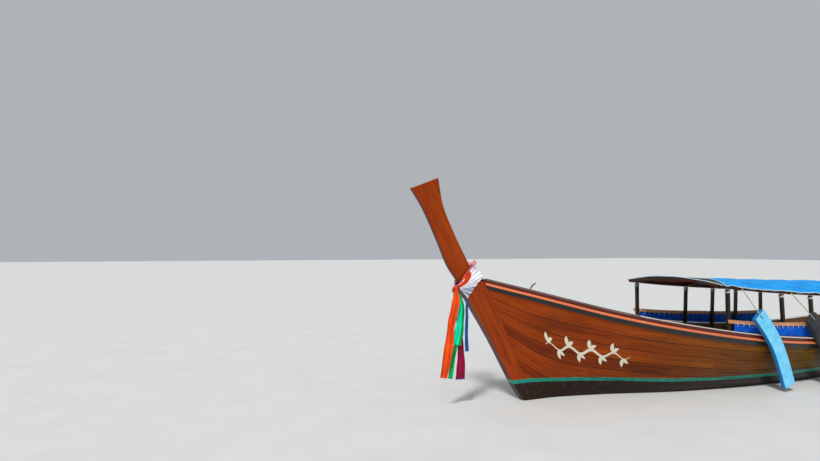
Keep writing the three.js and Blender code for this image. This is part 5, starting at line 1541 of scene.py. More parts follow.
def bow_wrap():
    """A cloth drawn round the stem head and gathered into the knot"""
    vs = np.linspace(0, 1, 101)
    front = np.array(WRAP_FRONT[0]) + vs[:, None] * (np.array(WRAP_FRONT[1]) - WRAP_FRONT[0])
    back = curve(WRAP_BACK, vs * (len(WRAP_BACK) - 1))
    port = [(np.stack([front[:, 0] + 0.012, 0 * vs, front[:, 1]], axis=1), (1, 0, 0))]
    count = 60
    for u in np.linspace(0, 1, count):
        line = front + (back - front) * u
        folds = 0.0075 * min(1, 3 * u) * np.sin(2 * math.pi * 8 * vs + 1.5 * u)
        folds += 0.004 * np.sin(2 * math.pi * 19 * vs + 5 * u)
        side = wrap_side(line[:, 1]) + 0.007 + folds + 0.012 * math.sin(math.pi * u)
        pinch = math.sqrt(1 - (1 - min(1, u / 0.14)) ** 2)
        out = (0.6 * (1 - min(1, u * 8)) - 0.5 * max(0, u * 8 - 7), 1, 0)
        port.append((np.stack([line[:, 0], side * (0.35 + 0.65 * pinch), line[:, 1]], axis=1), out))
    port.append((np.stack([back[:, 0] - 0.014, 0 * vs, back[:, 1]], axis=1), (-1, 0, 0)))
    starboard = [(points * (1, -1, 1), (out[0], -out[1], 0)) for points, out in port[-2:0:-1]]
    whole = port + starboard + port[:1]
    rows = [np.concatenate([points, (points - unit(out) * CLOTH)[::-1]]) for points, out in whole]

    def finish(i, j):
        k = i if i <= count else 2 * count + 1 - i
        u = k / count
        v = (j if j < len(vs) else 2 * len(vs) - 1 - j) / len(vs)
        if u < 0.04 or v < 0.025:
            return 3
        if v > 0.72:
            return 2
        return 1 if abs(v - 0.42 + 0.5 * u) < 0.14 and u < 0.7 else 0

    shape = Shape().grid(rows, around=True, finish=finish, tone=0.5)
    finishes = [WRAP_WHITE, SASH_ORANGE, WRAP_STRIPED, SASH_PINK]
    piece = shape.build("bow_wrap", "root", finishes, "bow_sashes", "cloth_white", angle=50)


def blossom(shape, centre, number):
    """Six petals round a heart, facing out of the bunch"""
    angle, rise = number * 2.4, -0.9 + 0.18 * number
    out = np.array([math.cos(angle) * math.cos(rise), math.sin(angle) * math.cos(rise), math.sin(rise)])
    side = unit(np.cross(out, (0.3, 0.2, 0.9)))
    up = np.cross(out, side)
    heart = centre + out * 0.036
    for a in turns(6) + angle:
        reach = side * math.cos(a) + up * math.sin(a)
        turn = np.stack([reach, np.cross(out, reach), out], axis=1)
        petal = heart + reach * 0.014 + out * 0.004
        shape.ball(petal, (0.016, 0.010, 0.0035), turn, 8, finish=0 if number % 3 else 1)
    shape.ball(heart + out * 0.006, (0.006, 0.006, 0.006), None, 8, finish=2)


def flowers():
    """A bunch of pink and white blossoms, and the twisted strand that ties it to the knot"""
    shape = Shape()
    for number in range(11):
        blossom(shape, np.array(FLOWERS), number)
    finishes = [FLOWER_WHITE, FLOWER_PINK, SASH_PINK]
    shape.build("flower_bunch", "root", finishes, "bow_sashes", "cloth_white", angle=60)
    strand = Shape()
    line = smooth(STRAND, 60)
    sideways, up = along(line)
    for twist in (0, math.pi):
        angles = np.linspace(0, 9 * math.pi, 60) + twist
        path = line + 0.005 * (np.cos(angles)[:, None] * sideways + np.sin(angles)[:, None] * up)
        strand.tube(path, 0.0065, 8, tone=0.5)
    strand.build("flower_strand", "root", SASH_PINK, "bow_sashes", "cloth_magenta", angle=60)


# Anchor and fuel tank

def fluke(shape, crown, across, up):
    """A curved arm with a flat palm near its tip"""
    bends = ((0, 0, 0), (0.07, across * 0.07, up * 0.06), (0.02, across * 0.17, 0.015 + up * 0.15),
             (-0.06, across * 0.205, 0.035 + up * 0.18))
    path = smooth(crown + bends, 28)
    radius = np.interp(np.linspace(0, 1, 28), (0, 0.7, 0.8, 0.95, 1), (0.012, 0.011, 0.011, 0.008, 0.003))
    shape.tube(path, radius, 12)
    palm = path[-6]
    tip = unit(path[-1] - palm)
    sideways = unit(np.cross(tip, palm - crown)) if across else np.array((0.0, 1.0, 0.0))
    shape.ball(palm, (0.045, 0.026, 0.004), np.stack([tip, sideways, np.cross(tip, sideways)], axis=1), 12)


def anchor_lashings(shape):
    """Four turns of rope over the shank at each chock"""
    reach = CHOCK_SIZE[1] / 2 + 0.0056
    for middle in CHOCK_X:
        for turn in (-1.5, -0.5, 0.5, 1.5):
            x = middle + 0.011 * turn
            (_, y, z), radius = shank_at(x)
            half = [(reach, foredeck_top(x)), (reach, z - 0.03), (reach, z - 0.004), (reach - 0.008, z + 0.007),
                    (0.03, z + 0.013)]
            over = [(x, y + a, b) for a, b in half] + [(x, y, z + radius + 0.0062)]
            over += [(x, y - a, b) for a, b in half[::-1]]
            shape.tube(over, LASHING_RADIUS, 8, count=44)


def anchor():
    """A grapnel that lies on its chocks, with a ring at the end of its shank"""
    shape = Shape()
    crown, ring_end = np.array(ANCHOR_CROWN), np.array(ANCHOR_RING)
    shape.tube([crown, ring_end], SHANK_RADII, 16)
    shape.ball(crown, (0.03, 0.03, 0.026))
    for across, up in ((0, 1), (1, 0.1), (-1, 0.1)):
        fluke(shape, crown, across, up)
    way = unit(ring_end - crown)
    circle = ring(0.028, 24)
    loop = ring_end + way * 0.022 + circle[:, :1] * way + circle[:, 1:] * (0, 0, 1)
    shape.sweep(loop, ring(0.006, 8), close=True)
    shape.band(ring_end - way * 0.05, way, 0.012, 0.020, 0.012)
    shape.build("grapnel", "root", ANCHOR_STEEL, "anchor", "anchor_steel")
    lashing = Shape()
    anchor_lashings(lashing)
    lashing.build("anchor_lashing", "root", ROPE, "anchor", "anchor_steel")


def fuel_tank():
    """A jerrycan with shallow ribs, a handle and a cap"""
    shape = Shape()
    x, y, z = TANK_PLACE
    length, width, height = TANK_SIZE
    body = height - 0.045
    rows = []
    for t in np.linspace(0, 1, 25):
        end = 1 - min(1, min(t, 1 - t) * width / TANK_ROUND)
        rib = 0.003 if 0.12 < t < 0.88 and int(t * 24) % 4 == 1 else 0
        inset = TANK_ROUND * (1 - math.sqrt(1 - end**2)) + rib
        low, high = (x - length / 2 + inset, z + inset), (x + length / 2 - inset, z + body - inset)
        rows.append([(a, y - t * width, b) for a, b in rounded(low, high, TANK_ROUND, 5)])
    shape.solid(rows)
    top = z + body - 0.004
    handle = ((0.05, 0), (0.055, 0.032), (0.10, 0.04), (0.17, 0.032), (0.175, 0))
    shape.tube([(x, y - a, top + b) for a, b in handle], 0.010, 12, count=40)
    shape.build("tank_body", "root", TANK, "fuel_tank", "tank_plastic", bevel=0.002)
    cap = Shape()
    centre = np.array((x, y - 0.29, top))
    profile = [(0.030, 0.0), (0.030, 0.012), (0.034, 0.012), (0.034, 0.040), (0.030, 0.044), (0, 0.044)]
    cap.lathe(profile, centre)
    for a in turns(20):
        foot = centre + (0.034 * math.cos(a), 0.034 * math.sin(a), 0.014)
        cap.tube([foot, foot + (0, 0, 0.024)], 0.002, 6)
    cap.tube([(x + 0.05, y - 0.02, z + 0.05), (x + 0.05, y + 0.02, z + 0.05)], 0.007, 12)
    cap.build("tank_cap", "root", RUBBER, "fuel_tank", "tank_plastic", bevel=0.001)


# Engine set

def web(shape, corners, normal, thickness):
    """A flat plate with the given corners, as thick along the normal"""
    half = unit(normal) * thickness / 2
    shape.solid([np.array(corners) - half, np.array(corners) + half])


def blade(shape, centre, turn, sections, **look):
    """A twisted blade about an axis along x; sections hold radius, chord, the chord's angle and thickness"""
    angles = turns(20)
    rows = []
    for radius, chord, angle, thickness in curve(sections, np.linspace(0, len(sections) - 1, 22)):
        a, b = np.cos(angles) * chord / 2, np.sin(angles) * thickness / 2
        x, y = a * math.cos(angle) + b * math.sin(angle), a * math.sin(angle) - b * math.cos(angle)
        rows.append(np.stack([x, y, np.full(len(angles), radius)], axis=1))
    spin = np.array(Matrix.Rotation(turn, 3, "X"))
    shape.solid(np.array(rows) @ spin.T + np.array(centre), **look)


def pedestal():
    """A column on a bolted foot with eight gussets"""
    x, foot, top = PIVOT[0], AFT_DECK_TOP + 0.0004, PEDESTAL_TOP
    shape = Shape()
    profile = [
        (0.148, foot), (0.15, foot + 0.002), (0.15, foot + 0.012), (0.148, foot + 0.014), (0.07, foot + 0.014),
        (0.063, foot + 0.021), (0.062, foot + 0.03), (0.062, top - 0.03), (0.08, top - 0.014),
        (0.08, top - 0.002), (0.078, top), (0.028, top), (0.028, top - 0.22),
    ]
    shape.lathe(profile, (x, 0, 0), sides=48)
    base = np.array((x, 0, foot + 0.0135))
    for a in turns(8):
        out = np.array((math.cos(a), math.sin(a), 0))
        side = np.cross(out, (0, 0, 1))
        web(shape, [base + out * 0.061, base + out * 0.135, base + out * 0.061 + (0, 0, 0.1)], side, 0.009)
        swung = out * math.cos(0.39) + side * math.sin(0.39)
        shape.bolt(base + swung * 0.122 + (0, 0, 0.0005), (0, 0, 1), 0.011, finish=1)
    shape.tube([(x, 0.06, top - 0.07), (x, 0.074, top - 0.066)], [0.006, 0.004], 8, finish=1)
    finishes = [STEELWORK, BRIGHT_STEEL]
    shape.build("pedestal_column", "root", finishes, "engine_pedestal", "steelwork", bevel=0.0015)


def yoke():
    """The fork that swings on the pedestal, with an eye for the trunnion in each arm"""
    x, _, z = PIVOT
    low = PEDESTAL_TOP + 0.003
    top = low + 0.022
    near, far = YOKE_ARM
    shape = Shape().box((x - 0.07, -far, low), (x + 0.07, far, top), 1)
    head = [(x + 0.042 * math.cos(a), z + 0.042 * math.sin(a)) for a in np.linspace(0, math.pi, 15)]
    outline = [(x - 0.045, top - 0.002), (x + 0.045, top - 0.002), *head]
    drills = []
    for sign in (1, -1):
        shape.plate(outline, sign * near, sign * far, (0, 1))
        shape.band((x, sign * 0.214, z), (0, 1, 0), 0.0225, 0.0325, 0.017, finish=1)
        for dx in (-0.034, 0.034):
            web(shape, [(x + dx, sign * 0.201, top - 0.001), (x + dx, sign * 0.145, top - 0.001),
                        (x + dx, sign * 0.201, top + 0.06)], (1, 0, 0), 0.01)
        drills.append(((x, sign * 0.15, z), (x, sign * 0.28, z), 0.022))
    shape.lathe([(0.024, 0.975), (0.026, 0.978), (0.026, low + 0.001)], (x, 0, 0), finish=1)
    finishes = [STEELWORK, BRIGHT_STEEL]
    shape.build("yoke_fork", "swivel", finishes, "swivel_yoke", "steelwork", bevel=0.003, holes=drills)


def cradle():
    """Two channels with ties across, carried by the trunnion"""
    shape = Shape(POWER)
    channel = [
        (0.177, 0.03), (0.177, 0.082), (0.133, 0.082), (0.133, 0.076), (0.17, 0.076), (0.17, 0.036),
        (0.133, 0.036), (0.133, 0.03),
    ]
    lug = [(-0.058, 0.034), (0.058, 0.034)] + [
        (0.038 * math.cos(a), 0.038 * math.sin(a)) for a in np.linspace(-0.3, 0.3 - math.pi, 15)]
    for sign in (1, -1):
        shape.loft([(x, [(sign * y, z) for y, z in channel]) for x in (-0.38, 0.74)])
        shape.plate(lug, sign * 0.146, sign * 0.172, (0, 1))
    for x in (-0.36, -0.12, 0.51, 0.70):
        shape.box((x - 0.022, -0.1695, 0.0365), (x + 0.022, 0.1695, 0.0755), 1)
    shape.tube([(0, -0.18, 0), (0, 0.18, 0)], 0.034, 32)
    trunnion = [(0, y, 0) for y in (-0.226, -0.224, 0.224, 0.226)]
    shape.tube(trunnion, [0.018, 0.02, 0.02, 0.018], 32, finish=1)
    finishes = [STEELWORK, BRIGHT_STEEL]
    shape.build("cradle_frame", "engine", finishes, "engine_cradle", "steelwork", bevel=0.003)


def around(circles, x):
    """The taut loop round circles of (y, z, radius), at x"""
    points = sorted((y + r * math.cos(a), z + r * math.sin(a)) for y, z, r in circles for a in turns(72))
    chains = []
    for line in (points, points[::-1]):
        chain = []
        for y, z in line:
            while len(chain) > 1:
                (y0, z0), (y1, z1) = chain[-2:]
                if (y1 - y0) * (z - z0) > (z1 - z0) * (y - y0):
                    break
                chain.pop()
            chain.append((y, z))
        chains.extend(chain[:-1])
    return np.array([(x, y, z) for y, z in chains])


def pulley(shape, y, z, radius, end):
    """A grooved wheel on the belt's plane, with a hub up to x = end"""
    x = BELT_X
    profile = [
        (radius * 0.4, x - 0.012), (radius, x - 0.012), (radius, x - 0.007), (radius - 0.01, x),
        (radius, x + 0.007), (radius, x + 0.012), (radius * 0.8, x + 0.013), (radius * 0.72, x + 0.006),
        (radius * 0.4, x + 0.006), (radius * 0.35, end),
    ]
    shape.lathe(profile, (0, y, z), (1, 0, 0), sides=40, finish=1)


def engine_casting(shape):
    """Crankcase, sump, head and rocker cover"""
    aft, fore = BLOCK_X
    case = [(0.15, 0.234), (0.15, 0.416), (0.109, 0.458), (-0.109, 0.458), (-0.15, 0.416), (-0.15, 0.234),
            (-0.124, 0.196), (0.124, 0.196)]
    shape.loft([(aft, case), (fore, case)])
    shape.box((aft + 0.005, -0.134, 0.186), (fore - 0.005, 0.134, 0.197))
    sump = ((aft + 0.012, 0.118, 0.006), (0.0, 0.112, 0), (0.06, 0.15, 0), (fore - 0.012, 0.155, 0.006))
    shape.loft([(x, [(0.12 - inset, 0.187), (0.098 - inset, low), (inset - 0.098, low), (inset - 0.12, 0.187)])
                for x, low, inset in sump], finish=2)
    shape.box((aft + 0.008, -0.108, 0.454), (fore - 0.008, 0.108, 0.468))
    ends = ((-0.22, 0.016), (-0.217, 0.008), (-0.21, 0.002), (-0.2, 0), (0.28, 0), (0.29, 0.002),
            (0.297, 0.008), (0.3, 0.016))
    cover = [(x, rounded((inset - 0.07, 0.467), (0.07 - inset, 0.543 - inset), 0.022)) for x, inset in ends]
    shape.loft(cover, finish=3)
    shape.box((-0.222, -0.074, 0.466), (0.302, 0.074, 0.474), finish=3)
    for x in (-0.17, 0.05, 0.25):
        shape.bolt((x, 0, 0.543), (0, 0, 1), 0.009, finish=1)
    filler = [(0.024, 0.54), (0.024, 0.552), (0.031, 0.553), (0.032, 0.558), (0.032, 0.57), (0.028, 0.575)]
    shape.lathe(filler, (-0.06, 0, 0), finish=2)
    for sign in (1, -1):
        for x in np.linspace(aft + 0.03, fore - 0.03, 10):
            shape.bolt((x, sign * 0.127, 0.186), (0, 0, -1), 0.006, finish=1)
        for i in range(5):
            x, y = aft + 0.03 + i * 0.135, sign * 0.152
            shape.box((x - 0.006, y - 0.004, 0.24), (x + 0.006, y + 0.004, 0.385), 2)
            if i < 4:
                shape.lathe([(0.021, 0), (0.021, 0.003), (0.017, 0.003), (0.015, 0.001)],
                            (x + 0.068, sign * 0.15, 0.3), (0, sign, 0), finish=1)


def alternator(shape, x, y, z):
    """A finned case with vents behind, on a foot and an arm"""
    profile = [
        (0.03, 0), (0.05, 0.004), (0.059, 0.012), (0.062, 0.022), (0.062, 0.036), (0.058, 0.038),
        (0.058, 0.044), (0.062, 0.046), (0.062, 0.09), (0.058, 0.092), (0.058, 0.098), (0.062, 0.1),
        (0.061, 0.12), (0.052, 0.134), (0.018, 0.138), (0.012, 0.165),
    ]
    shape.lathe(profile, (x, y, z), (1, 0, 0), sides=40, finish=3)
    for a in turns(10):
        out = np.array((0, math.cos(a), math.sin(a)))
        vent = [np.array((x + 0.006, y, z)) + out * 0.034, np.array((x + 0.012, y, z)) + out * 0.054]
        shape.tube(vent, 0.004, 6, finish=2)
    shape.box((0.222, -0.19, 0.262), (0.288, -0.148, 0.276))
    arm = [(0.30, -0.148, 0.44), (0.30, -0.148, 0.41), (0.30, -0.2, 0.37), (0.30, -0.212, 0.388)]
    web(shape, arm, (1, 0, 0), 0.006)


def engine_front(shape):
    """Timing cover, pulleys, belt, fan and alternator"""
    fore = BLOCK_X[1]
    timing = ((-0.12, 0.21), (0.12, 0.21), (0.13, 0.3), (0.075, 0.44), (-0.075, 0.44), (-0.13, 0.3))
    shape.loft([(fore + dx, [(y * size, 0.3 + (z - 0.3) * size) for y, z in timing])
                for dx, size in ((-0.001, 1), (0.004, 1), (0.006, 0.96))], finish=3)
    wheels = ((0, 0.215, 0.075, 0.375), (0, FAN_Z, 0.055, 0.372), (-0.215, 0.33, 0.034, 0.37))
    for wheel in wheels:
        pulley(shape, *wheel)
    loop = around([(y, z, radius - 0.003) for y, z, radius, _ in wheels], BELT_X)
    ways = unit(np.roll(loop, -1, axis=0) - np.roll(loop, 1, axis=0))
    belt = [(-0.005, 0.003), (0.005, 0.003), (0.003, -0.005), (-0.003, -0.005)]
    shape.sweep(loop, belt, (1.0, 0, 0), -np.cross((1, 0, 0), ways), close=True, finish=4)
    hub = [(0.026, 0.368), (0.026, 0.376), (0.022, 0.378), (0.022, 0.39), (0.019, 0.392)]
    shape.lathe(hub, (0, 0, FAN_Z), (1, 0, 0), finish=2)
    for turn in turns(6):
        blade(shape, (0.386, 0, FAN_Z), turn, FAN_BLADE, finish=2)
    alternator(shape, 0.19, -0.215, 0.33)


def injection(shape):
    """The pump with a pipe to each cylinder"""
    shape.box((-0.135, -0.192, 0.262), (0.065, -0.149, 0.334), finish=3)
    shape.lathe([(0.024, -0.045), (0.026, -0.04), (0.026, 0)], (-0.135, -0.17, 0.298), (1, 0, 0), finish=3)
    for i in range(4):
        low, high = -0.1125 + 0.048 * i, -0.17 + 0.13 * i
        shape.lathe([(0.009, 0), (0.009, 0.014), (0.006, 0.016), (0.006, 0.028)], (low, -0.17, 0.334), finish=1)
        shape.lathe([(0.011, 0), (0.011, 0.01), (0.007, 0.012), (0.007, 0.03)], (high, -0.09, 0.467), finish=1)
        pipe = [(low, -0.17, 0.356), (low, -0.176, 0.4), ((low + high) / 2, -0.165, 0.45),
                (high, -0.118, 0.492), (high, -0.09, 0.49)]
        shape.tube(pipe, 0.003, 8, count=30, finish=1)


def engine_foot(shape, x, sign):
    """A bracket from the crankcase down to the cradle"""
    shape.box((x - 0.03, sign * 0.12, 0.0835), (x + 0.03, sign * 0.18, 0.094))
    shape.box((x - 0.03, sign * 0.148, 0.092), (x + 0.03, sign * 0.158, 0.24))
    shape.box((x - 0.028, sign * 0.115, 0.2), (x + 0.028, sign * 0.15, 0.235))
    for dx in (-0.024, 0.024):
        gusset = [(x + dx, sign * y, z) for y, z in ((0.157, 0.093), (0.179, 0.093), (0.157, 0.19))]
        web(shape, gusset, (1, 0, 0), 0.006)
    shape.bolt((x, sign * 0.17, 0.094), (0, 0, 1), 0.009, finish=1)
    for dx in (-0.017, 0.017):
        shape.bolt((x + dx, sign * 0.158, 0.222), (0, sign, 0), 0.008, finish=1)


def engine_fittings(shape):
    """Injection pump, filters, starter, dipstick and feet"""
    injection(shape)
    fuel_filter = [(0.02, 0.242), (0.031, 0.248), (0.033, 0.256), (0.033, 0.34), (0.036, 0.344), (0.036, 0.356),
                   (0.012, 0.36)]
    shape.lathe(fuel_filter, (0.125, -0.187, 0), finish=2)
    oil_filter = [(0.037, 0), (0.038, 0.004), (0.038, 0.062), (0.03, 0.072)]
    shape.lathe(oil_filter, (0.12, 0.15, 0.275), (0, 1, 0), finish=4)
    starter = [(0.025, 0), (0.036, 0.006), (0.036, 0.12), (0.028, 0.128), (0.02, 0.15)]
    shape.lathe(starter, (-0.25, 0.187, 0.29), (1, 0, 0), finish=2)
    solenoid = [(0.016, 0), (0.018, 0.003), (0.018, 0.08), (0.01, 0.084)]
    shape.lathe(solenoid, (-0.225, 0.187, 0.342), (1, 0, 0), finish=2)
    shape.tube([(0.3, 0.145, 0.24), (0.305, 0.162, 0.3), (0.3, 0.158, 0.4)], 0.005, 8, count=12, finish=1)
    for x in (-0.18, 0.24):
        for sign in (1, -1):
            engine_foot(shape, x, sign)


def engine_block():
    shape = Shape(ENGINE)
    engine_casting(shape)
    engine_front(shape)
    engine_fittings(shape)
    finishes = [IRON, BRIGHT_STEEL, BLACK_PAINT, ALLOY, RUBBER]
    shape.build("engine_assembly", "engine", finishes, "engine_block", "engine_iron", bevel=0.002, angle=40)


def radiator():
    """Core of flat tubes and fins between two tanks, its cap, legs and hoses"""
    shape = Shape(ENGINE)
    for sign in (1, -1):
        shape.box((0.42, sign * 0.219, 0.152), (0.47, sign * 0.235, 0.585), 2)
        shape.box((0.43, sign * 0.137, 0.083), (0.462, sign * 0.173, 0.091))
        shape.box((0.443, sign * 0.139, 0.09), (0.449, sign * 0.171, 0.156), 2)
        shape.bolt((0.446, sign * 0.155, 0.091), (0, 0, 1), 0.007, finish=2)
    for low, high in ((0.15, 0.19), (0.58, 0.625)):
        section = rounded((0.412, low), (0.478, high), 0.012)
        shape.solid([[(x, y, z) for x, z in section] for y in (-0.225, 0.225)])
    for y in np.linspace(-0.211, 0.211, 39):
        shape.box((0.428, y - 0.0012, 0.188), (0.462, y + 0.0012, 0.582), 2, finish=1)
    for z in np.linspace(0.194, 0.576, 58):
        shape.box((0.43, -0.22, z - 0.0006), (0.46, 0.22, z + 0.0006), 1, finish=1)
    cap = [(0.018, 0.624), (0.018, 0.632), (0.027, 0.633), (0.028, 0.637), (0.028, 0.643), (0.024, 0.645)]
    shape.lathe(cap, (0.445, -0.12, 0), finish=2)
    hoses = (
        ((0.414, 0.12, 0.603), (0.385, 0.12, 0.6), (0.345, 0.09, 0.545), (0.33, 0.05, 0.485),
         (0.325, 0.04, 0.46)),
        ((0.43, -0.19, 0.17), (0.395, -0.19, 0.175), (0.365, -0.16, 0.22), (0.352, -0.11, 0.275),
         (0.335, -0.07, 0.31)),
    )
    for hose in hoses:
        shape.tube(hose, 0.019, 20, count=28, finish=3)
        line = smooth(hose, 28)
        for i in (2, 25):
            shape.band(line[i], line[i + 1] - line[i - 1], 0.0185, 0.021, 0.005, finish=2)
    finishes = [BLACK_PAINT, ALLOY, BRIGHT_STEEL, RUBBER]
    shape.build("radiator_assembly", "engine", finishes, "radiator", "radiator_paint", bevel=0.0015)


def air_cleaner():
    """A round filter on the head, with a wing nut and its pipe to the head"""
    shape = Shape(ENGINE)
    x, y = 0.15, 0.03
    profile = [
        (0.07, 0.5465), (0.1, 0.5475), (0.105, 0.56), (0.118, 0.563), (0.124, 0.572), (0.125, 0.58),
        (0.125, 0.6), (0.122, 0.603), (0.122, 0.625), (0.125, 0.628), (0.125, 0.652), (0.123, 0.658),
        (0.108, 0.666), (0.1, 0.664), (0.06, 0.667), (0.05, 0.672), (0.02, 0.672),
    ]
    shape.lathe(profile, (x, y, 0), sides=56)
    shape.lathe([(0.006, 0.671), (0.006, 0.682), (0.003, 0.684)], (x, y, 0), finish=1)
    for sign in (1, -1):
        shape.ball((x + sign * 0.012, y, 0.681), (0.01, 0.002, 0.006), None, 10, finish=1)
    pipe = [(x, y - 0.1, 0.615), (x - 0.01, y - 0.14, 0.615), (x - 0.05, y - 0.17, 0.61)]
    shape.tube(pipe, 0.027, 20, count=10)
    finishes = [BLACK_PAINT, BRIGHT_STEEL]
    shape.build("air_filter", "engine", finishes, "air_cleaner", "radiator_paint", bevel=0.001)


def exhaust():
    """A log on the port side of the head and a pipe that turns up and aft, open at its end"""
    shape = Shape(ENGINE)
    section = rounded((0.158, 0.396), (0.205, 0.44), 0.014)
    shape.loft([(-0.2, section), (0.25, section)])
    for i in range(4):
        x = -0.165 + 0.125 * i
        shape.box((x - 0.03, 0.151, 0.393), (x + 0.03, 0.16, 0.443))
        for dx in (-0.022, 0.022):
            shape.bolt((x + dx, 0.16, 0.418), (0, 1, 0), 0.006, finish=1)
    line = smooth(EXHAUST_PATH, 60)
    sideways, up = along(line)
    section = ring(1.0, 24)
    outer, bore = EXHAUST_RADII
    steps = [*[(i, outer) for i in range(60)], *[(i, bore) for i in range(59, 52, -1)]]
    shape.solid([line[i] + (section[:, :1] * sideways[i] + section[:, 1:] * up[i]) * r for i, r in steps])
    x, y = EXHAUST_JOINT
    for z in (0.6, 0.611):
        shape.lathe([(0.03, 0), (0.05, 0), (0.05, 0.0095), (0.03, 0.0095)], (x, y, z), sides=6, close=True)
    for a in turns(3) + math.pi / 3:
        shape.bolt((x + 0.04 * math.cos(a), y + 0.04 * math.sin(a), 0.6205), (0, 0, 1), 0.006, finish=1)
    finishes = [EXHAUST_STEEL, BRIGHT_STEEL]
    shape.build("exhaust_assembly", "engine", finishes, "exhaust_pipe", "exhaust_steel", bevel=0.001)


def gearbox():
    """A flared housing with twelve ribs, bolted at both ends, on a foot; the gear lever stands on it"""
    shape = Shape(ENGINE)
    profile = [
        (0.03, -0.56), (0.076, -0.56), (0.078, -0.557), (0.078, -0.55), (0.088, -0.545), (0.092, -0.538),
        (0.092, -0.436), (0.1, -0.432), (0.1, -0.418), (0.105, -0.41), (0.12, -0.38), (0.154, -0.3),
        (0.156, -0.279), (0.165, -0.278), (0.165, -0.263),
    ]
    middle = np.array((0, 0, SHAFT_Z))
    shape.lathe(profile, middle, (1, 0, 0), sides=48)
    rib = ((-0.418, 0.098), (-0.418, 0.106), (-0.382, 0.128), (-0.3, 0.162), (-0.278, 0.164), (-0.278, 0.15))
    for i, a in enumerate(turns(12)):
        out = np.array((0, math.cos(a), math.sin(a)))
        side = np.cross(out, (1, 0, 0))
        web(shape, [middle + out * r + (x, 0, 0) for x, r in rib], side, 0.006)
        swung = out * math.cos(0.26) + side * math.sin(0.26)
        shape.bolt(middle + swung * 0.1595 + (-0.278, 0, 0), (-1, 0, 0), 0.006, finish=1)
        if i % 2:
            shape.bolt(middle + out * 0.067 + (-0.56, 0, 0), (-1, 0, 0), 0.006, finish=1)
    shape.box((-0.53, -0.12, 0.078), (-0.47, 0.12, 0.09))
    for y in (-0.075, 0.075):
        foot = [(-0.5, y * 1.3, 0.089), (-0.5, y * 0.6, 0.089), (-0.5, y * 0.6, 0.205), (-0.5, y, 0.215)]
        web(shape, foot, (1, 0, 0), 0.04)
        shape.bolt((-0.5, y * 1.45, 0.09), (0, 0, 1), 0.008, finish=1)
    shape.box((-0.525, -0.045, 0.35), (-0.445, 0.045, 0.372))
    shape.tube([(-0.485, 0, 0.37), (-0.48, -0.005, 0.43), (-0.45, -0.02, 0.52)], 0.006, 10, count=12, finish=1)
    shape.ball((-0.447, -0.022, 0.53), (0.017, 0.017, 0.019), finish=2)
    finishes = [STEELWORK, BRIGHT_STEEL, RUBBER]
    shape.build("gear_case", "engine", finishes, "gearbox", "steelwork", bevel=0.002, angle=36)


def tiller():
    """A bent pipe to steer by, with a ribbed grip and the throttle's cable under bands"""
    shape = Shape(ENGINE)
    shape.tube(TILLER_PATH, 0.021, 20, count=60)
    shape.box((0.545, -0.06, 0.034), (0.585, 0.06, 0.078), 1)
    for y in (-0.045, 0.045):
        shape.bolt((0.565, y, 0.078), (0, 0, 1), 0.007, finish=1)
    steps = np.linspace(0, 1, 33)
    radii = [0.0255 - 0.0015 * t + 0.0012 * math.cos(math.pi * i) for i, t in enumerate(steps)]
    start, end = np.array(GRIP_ENDS)
    shape.tube(start + (end - start) * steps[:, None], [0.022, *radii[1:-1], 0.02], 20, finish=2)
    bar = smooth(TILLER_PATH, 60)
    cable = bar[4:52] + (0, 0.022, 0.012)
    shape.tube(cable, 0.0035, 8, finish=2)
    for i in (10, 22, 34, 46):
        shape.band(bar[i], bar[i + 1] - bar[i], 0.0205, 0.0225, 0.006, finish=2)
    lever = cable[-1]
    shape.tube([lever, lever + (0.02, 0.006, 0.012), lever + (0.07, 0.01, 0.006)], 0.004, 8, finish=1)
    shape.ball(lever + (0.074, 0.01, 0.006), (0.009, 0.008, 0.008), finish=2)
    finishes = [STEELWORK, BRIGHT_STEEL, RUBBER]
    shape.build("tiller_bar", "engine", finishes, "tiller", "steelwork", bevel=0.002)


def tube_radius(x):
    return float(np.interp(x, TAIL_X, TAIL_RADII))


def brace(shape):
    """A rod held over the tail tube on three struts, and the clamps under its feet"""
    ridge = [(x, 0, SHAFT_Z + BRACE_HEIGHT) for x in BRACE_X]
    feet = [(x, 0, SHAFT_Z + tube_radius(x) + 0.011) for x in (*BRACE_ENDS, *BRACE_X)]
    line = [feet[0], *ridge, feet[1]]
    for start, end in zip(line, line[1:]):
        shape.tube([start, end], BRACE_RADIUS, 12)
    for foot, top in zip(feet[2:], ridge):
        shape.tube([foot, top], BRACE_RADIUS, 12)
        shape.ball(top, (0.013, 0.011, 0.011), None, 12)
    for x in (BRACE_ENDS[0], *BRACE_X, BRACE_ENDS[1]):
        r = tube_radius(x)
        clamp = [(r - 0.001, -0.014), (r + 0.004, -0.014), (r + 0.005, -0.012), (r + 0.005, 0.012),
                 (r + 0.004, 0.014), (r - 0.001, 0.014)]
        shape.lathe(clamp, (x, 0, SHAFT_Z), (1, 0, 0), sides=28, close=True)
        shape.box((x - 0.012, -0.009, SHAFT_Z - r - 0.014), (x + 0.012, 0.009, SHAFT_Z - r + 0.002))
        shape.bolt((x, 0.009, SHAFT_Z - r - 0.0075), (0, 1, 0), 0.0045, finish=1)


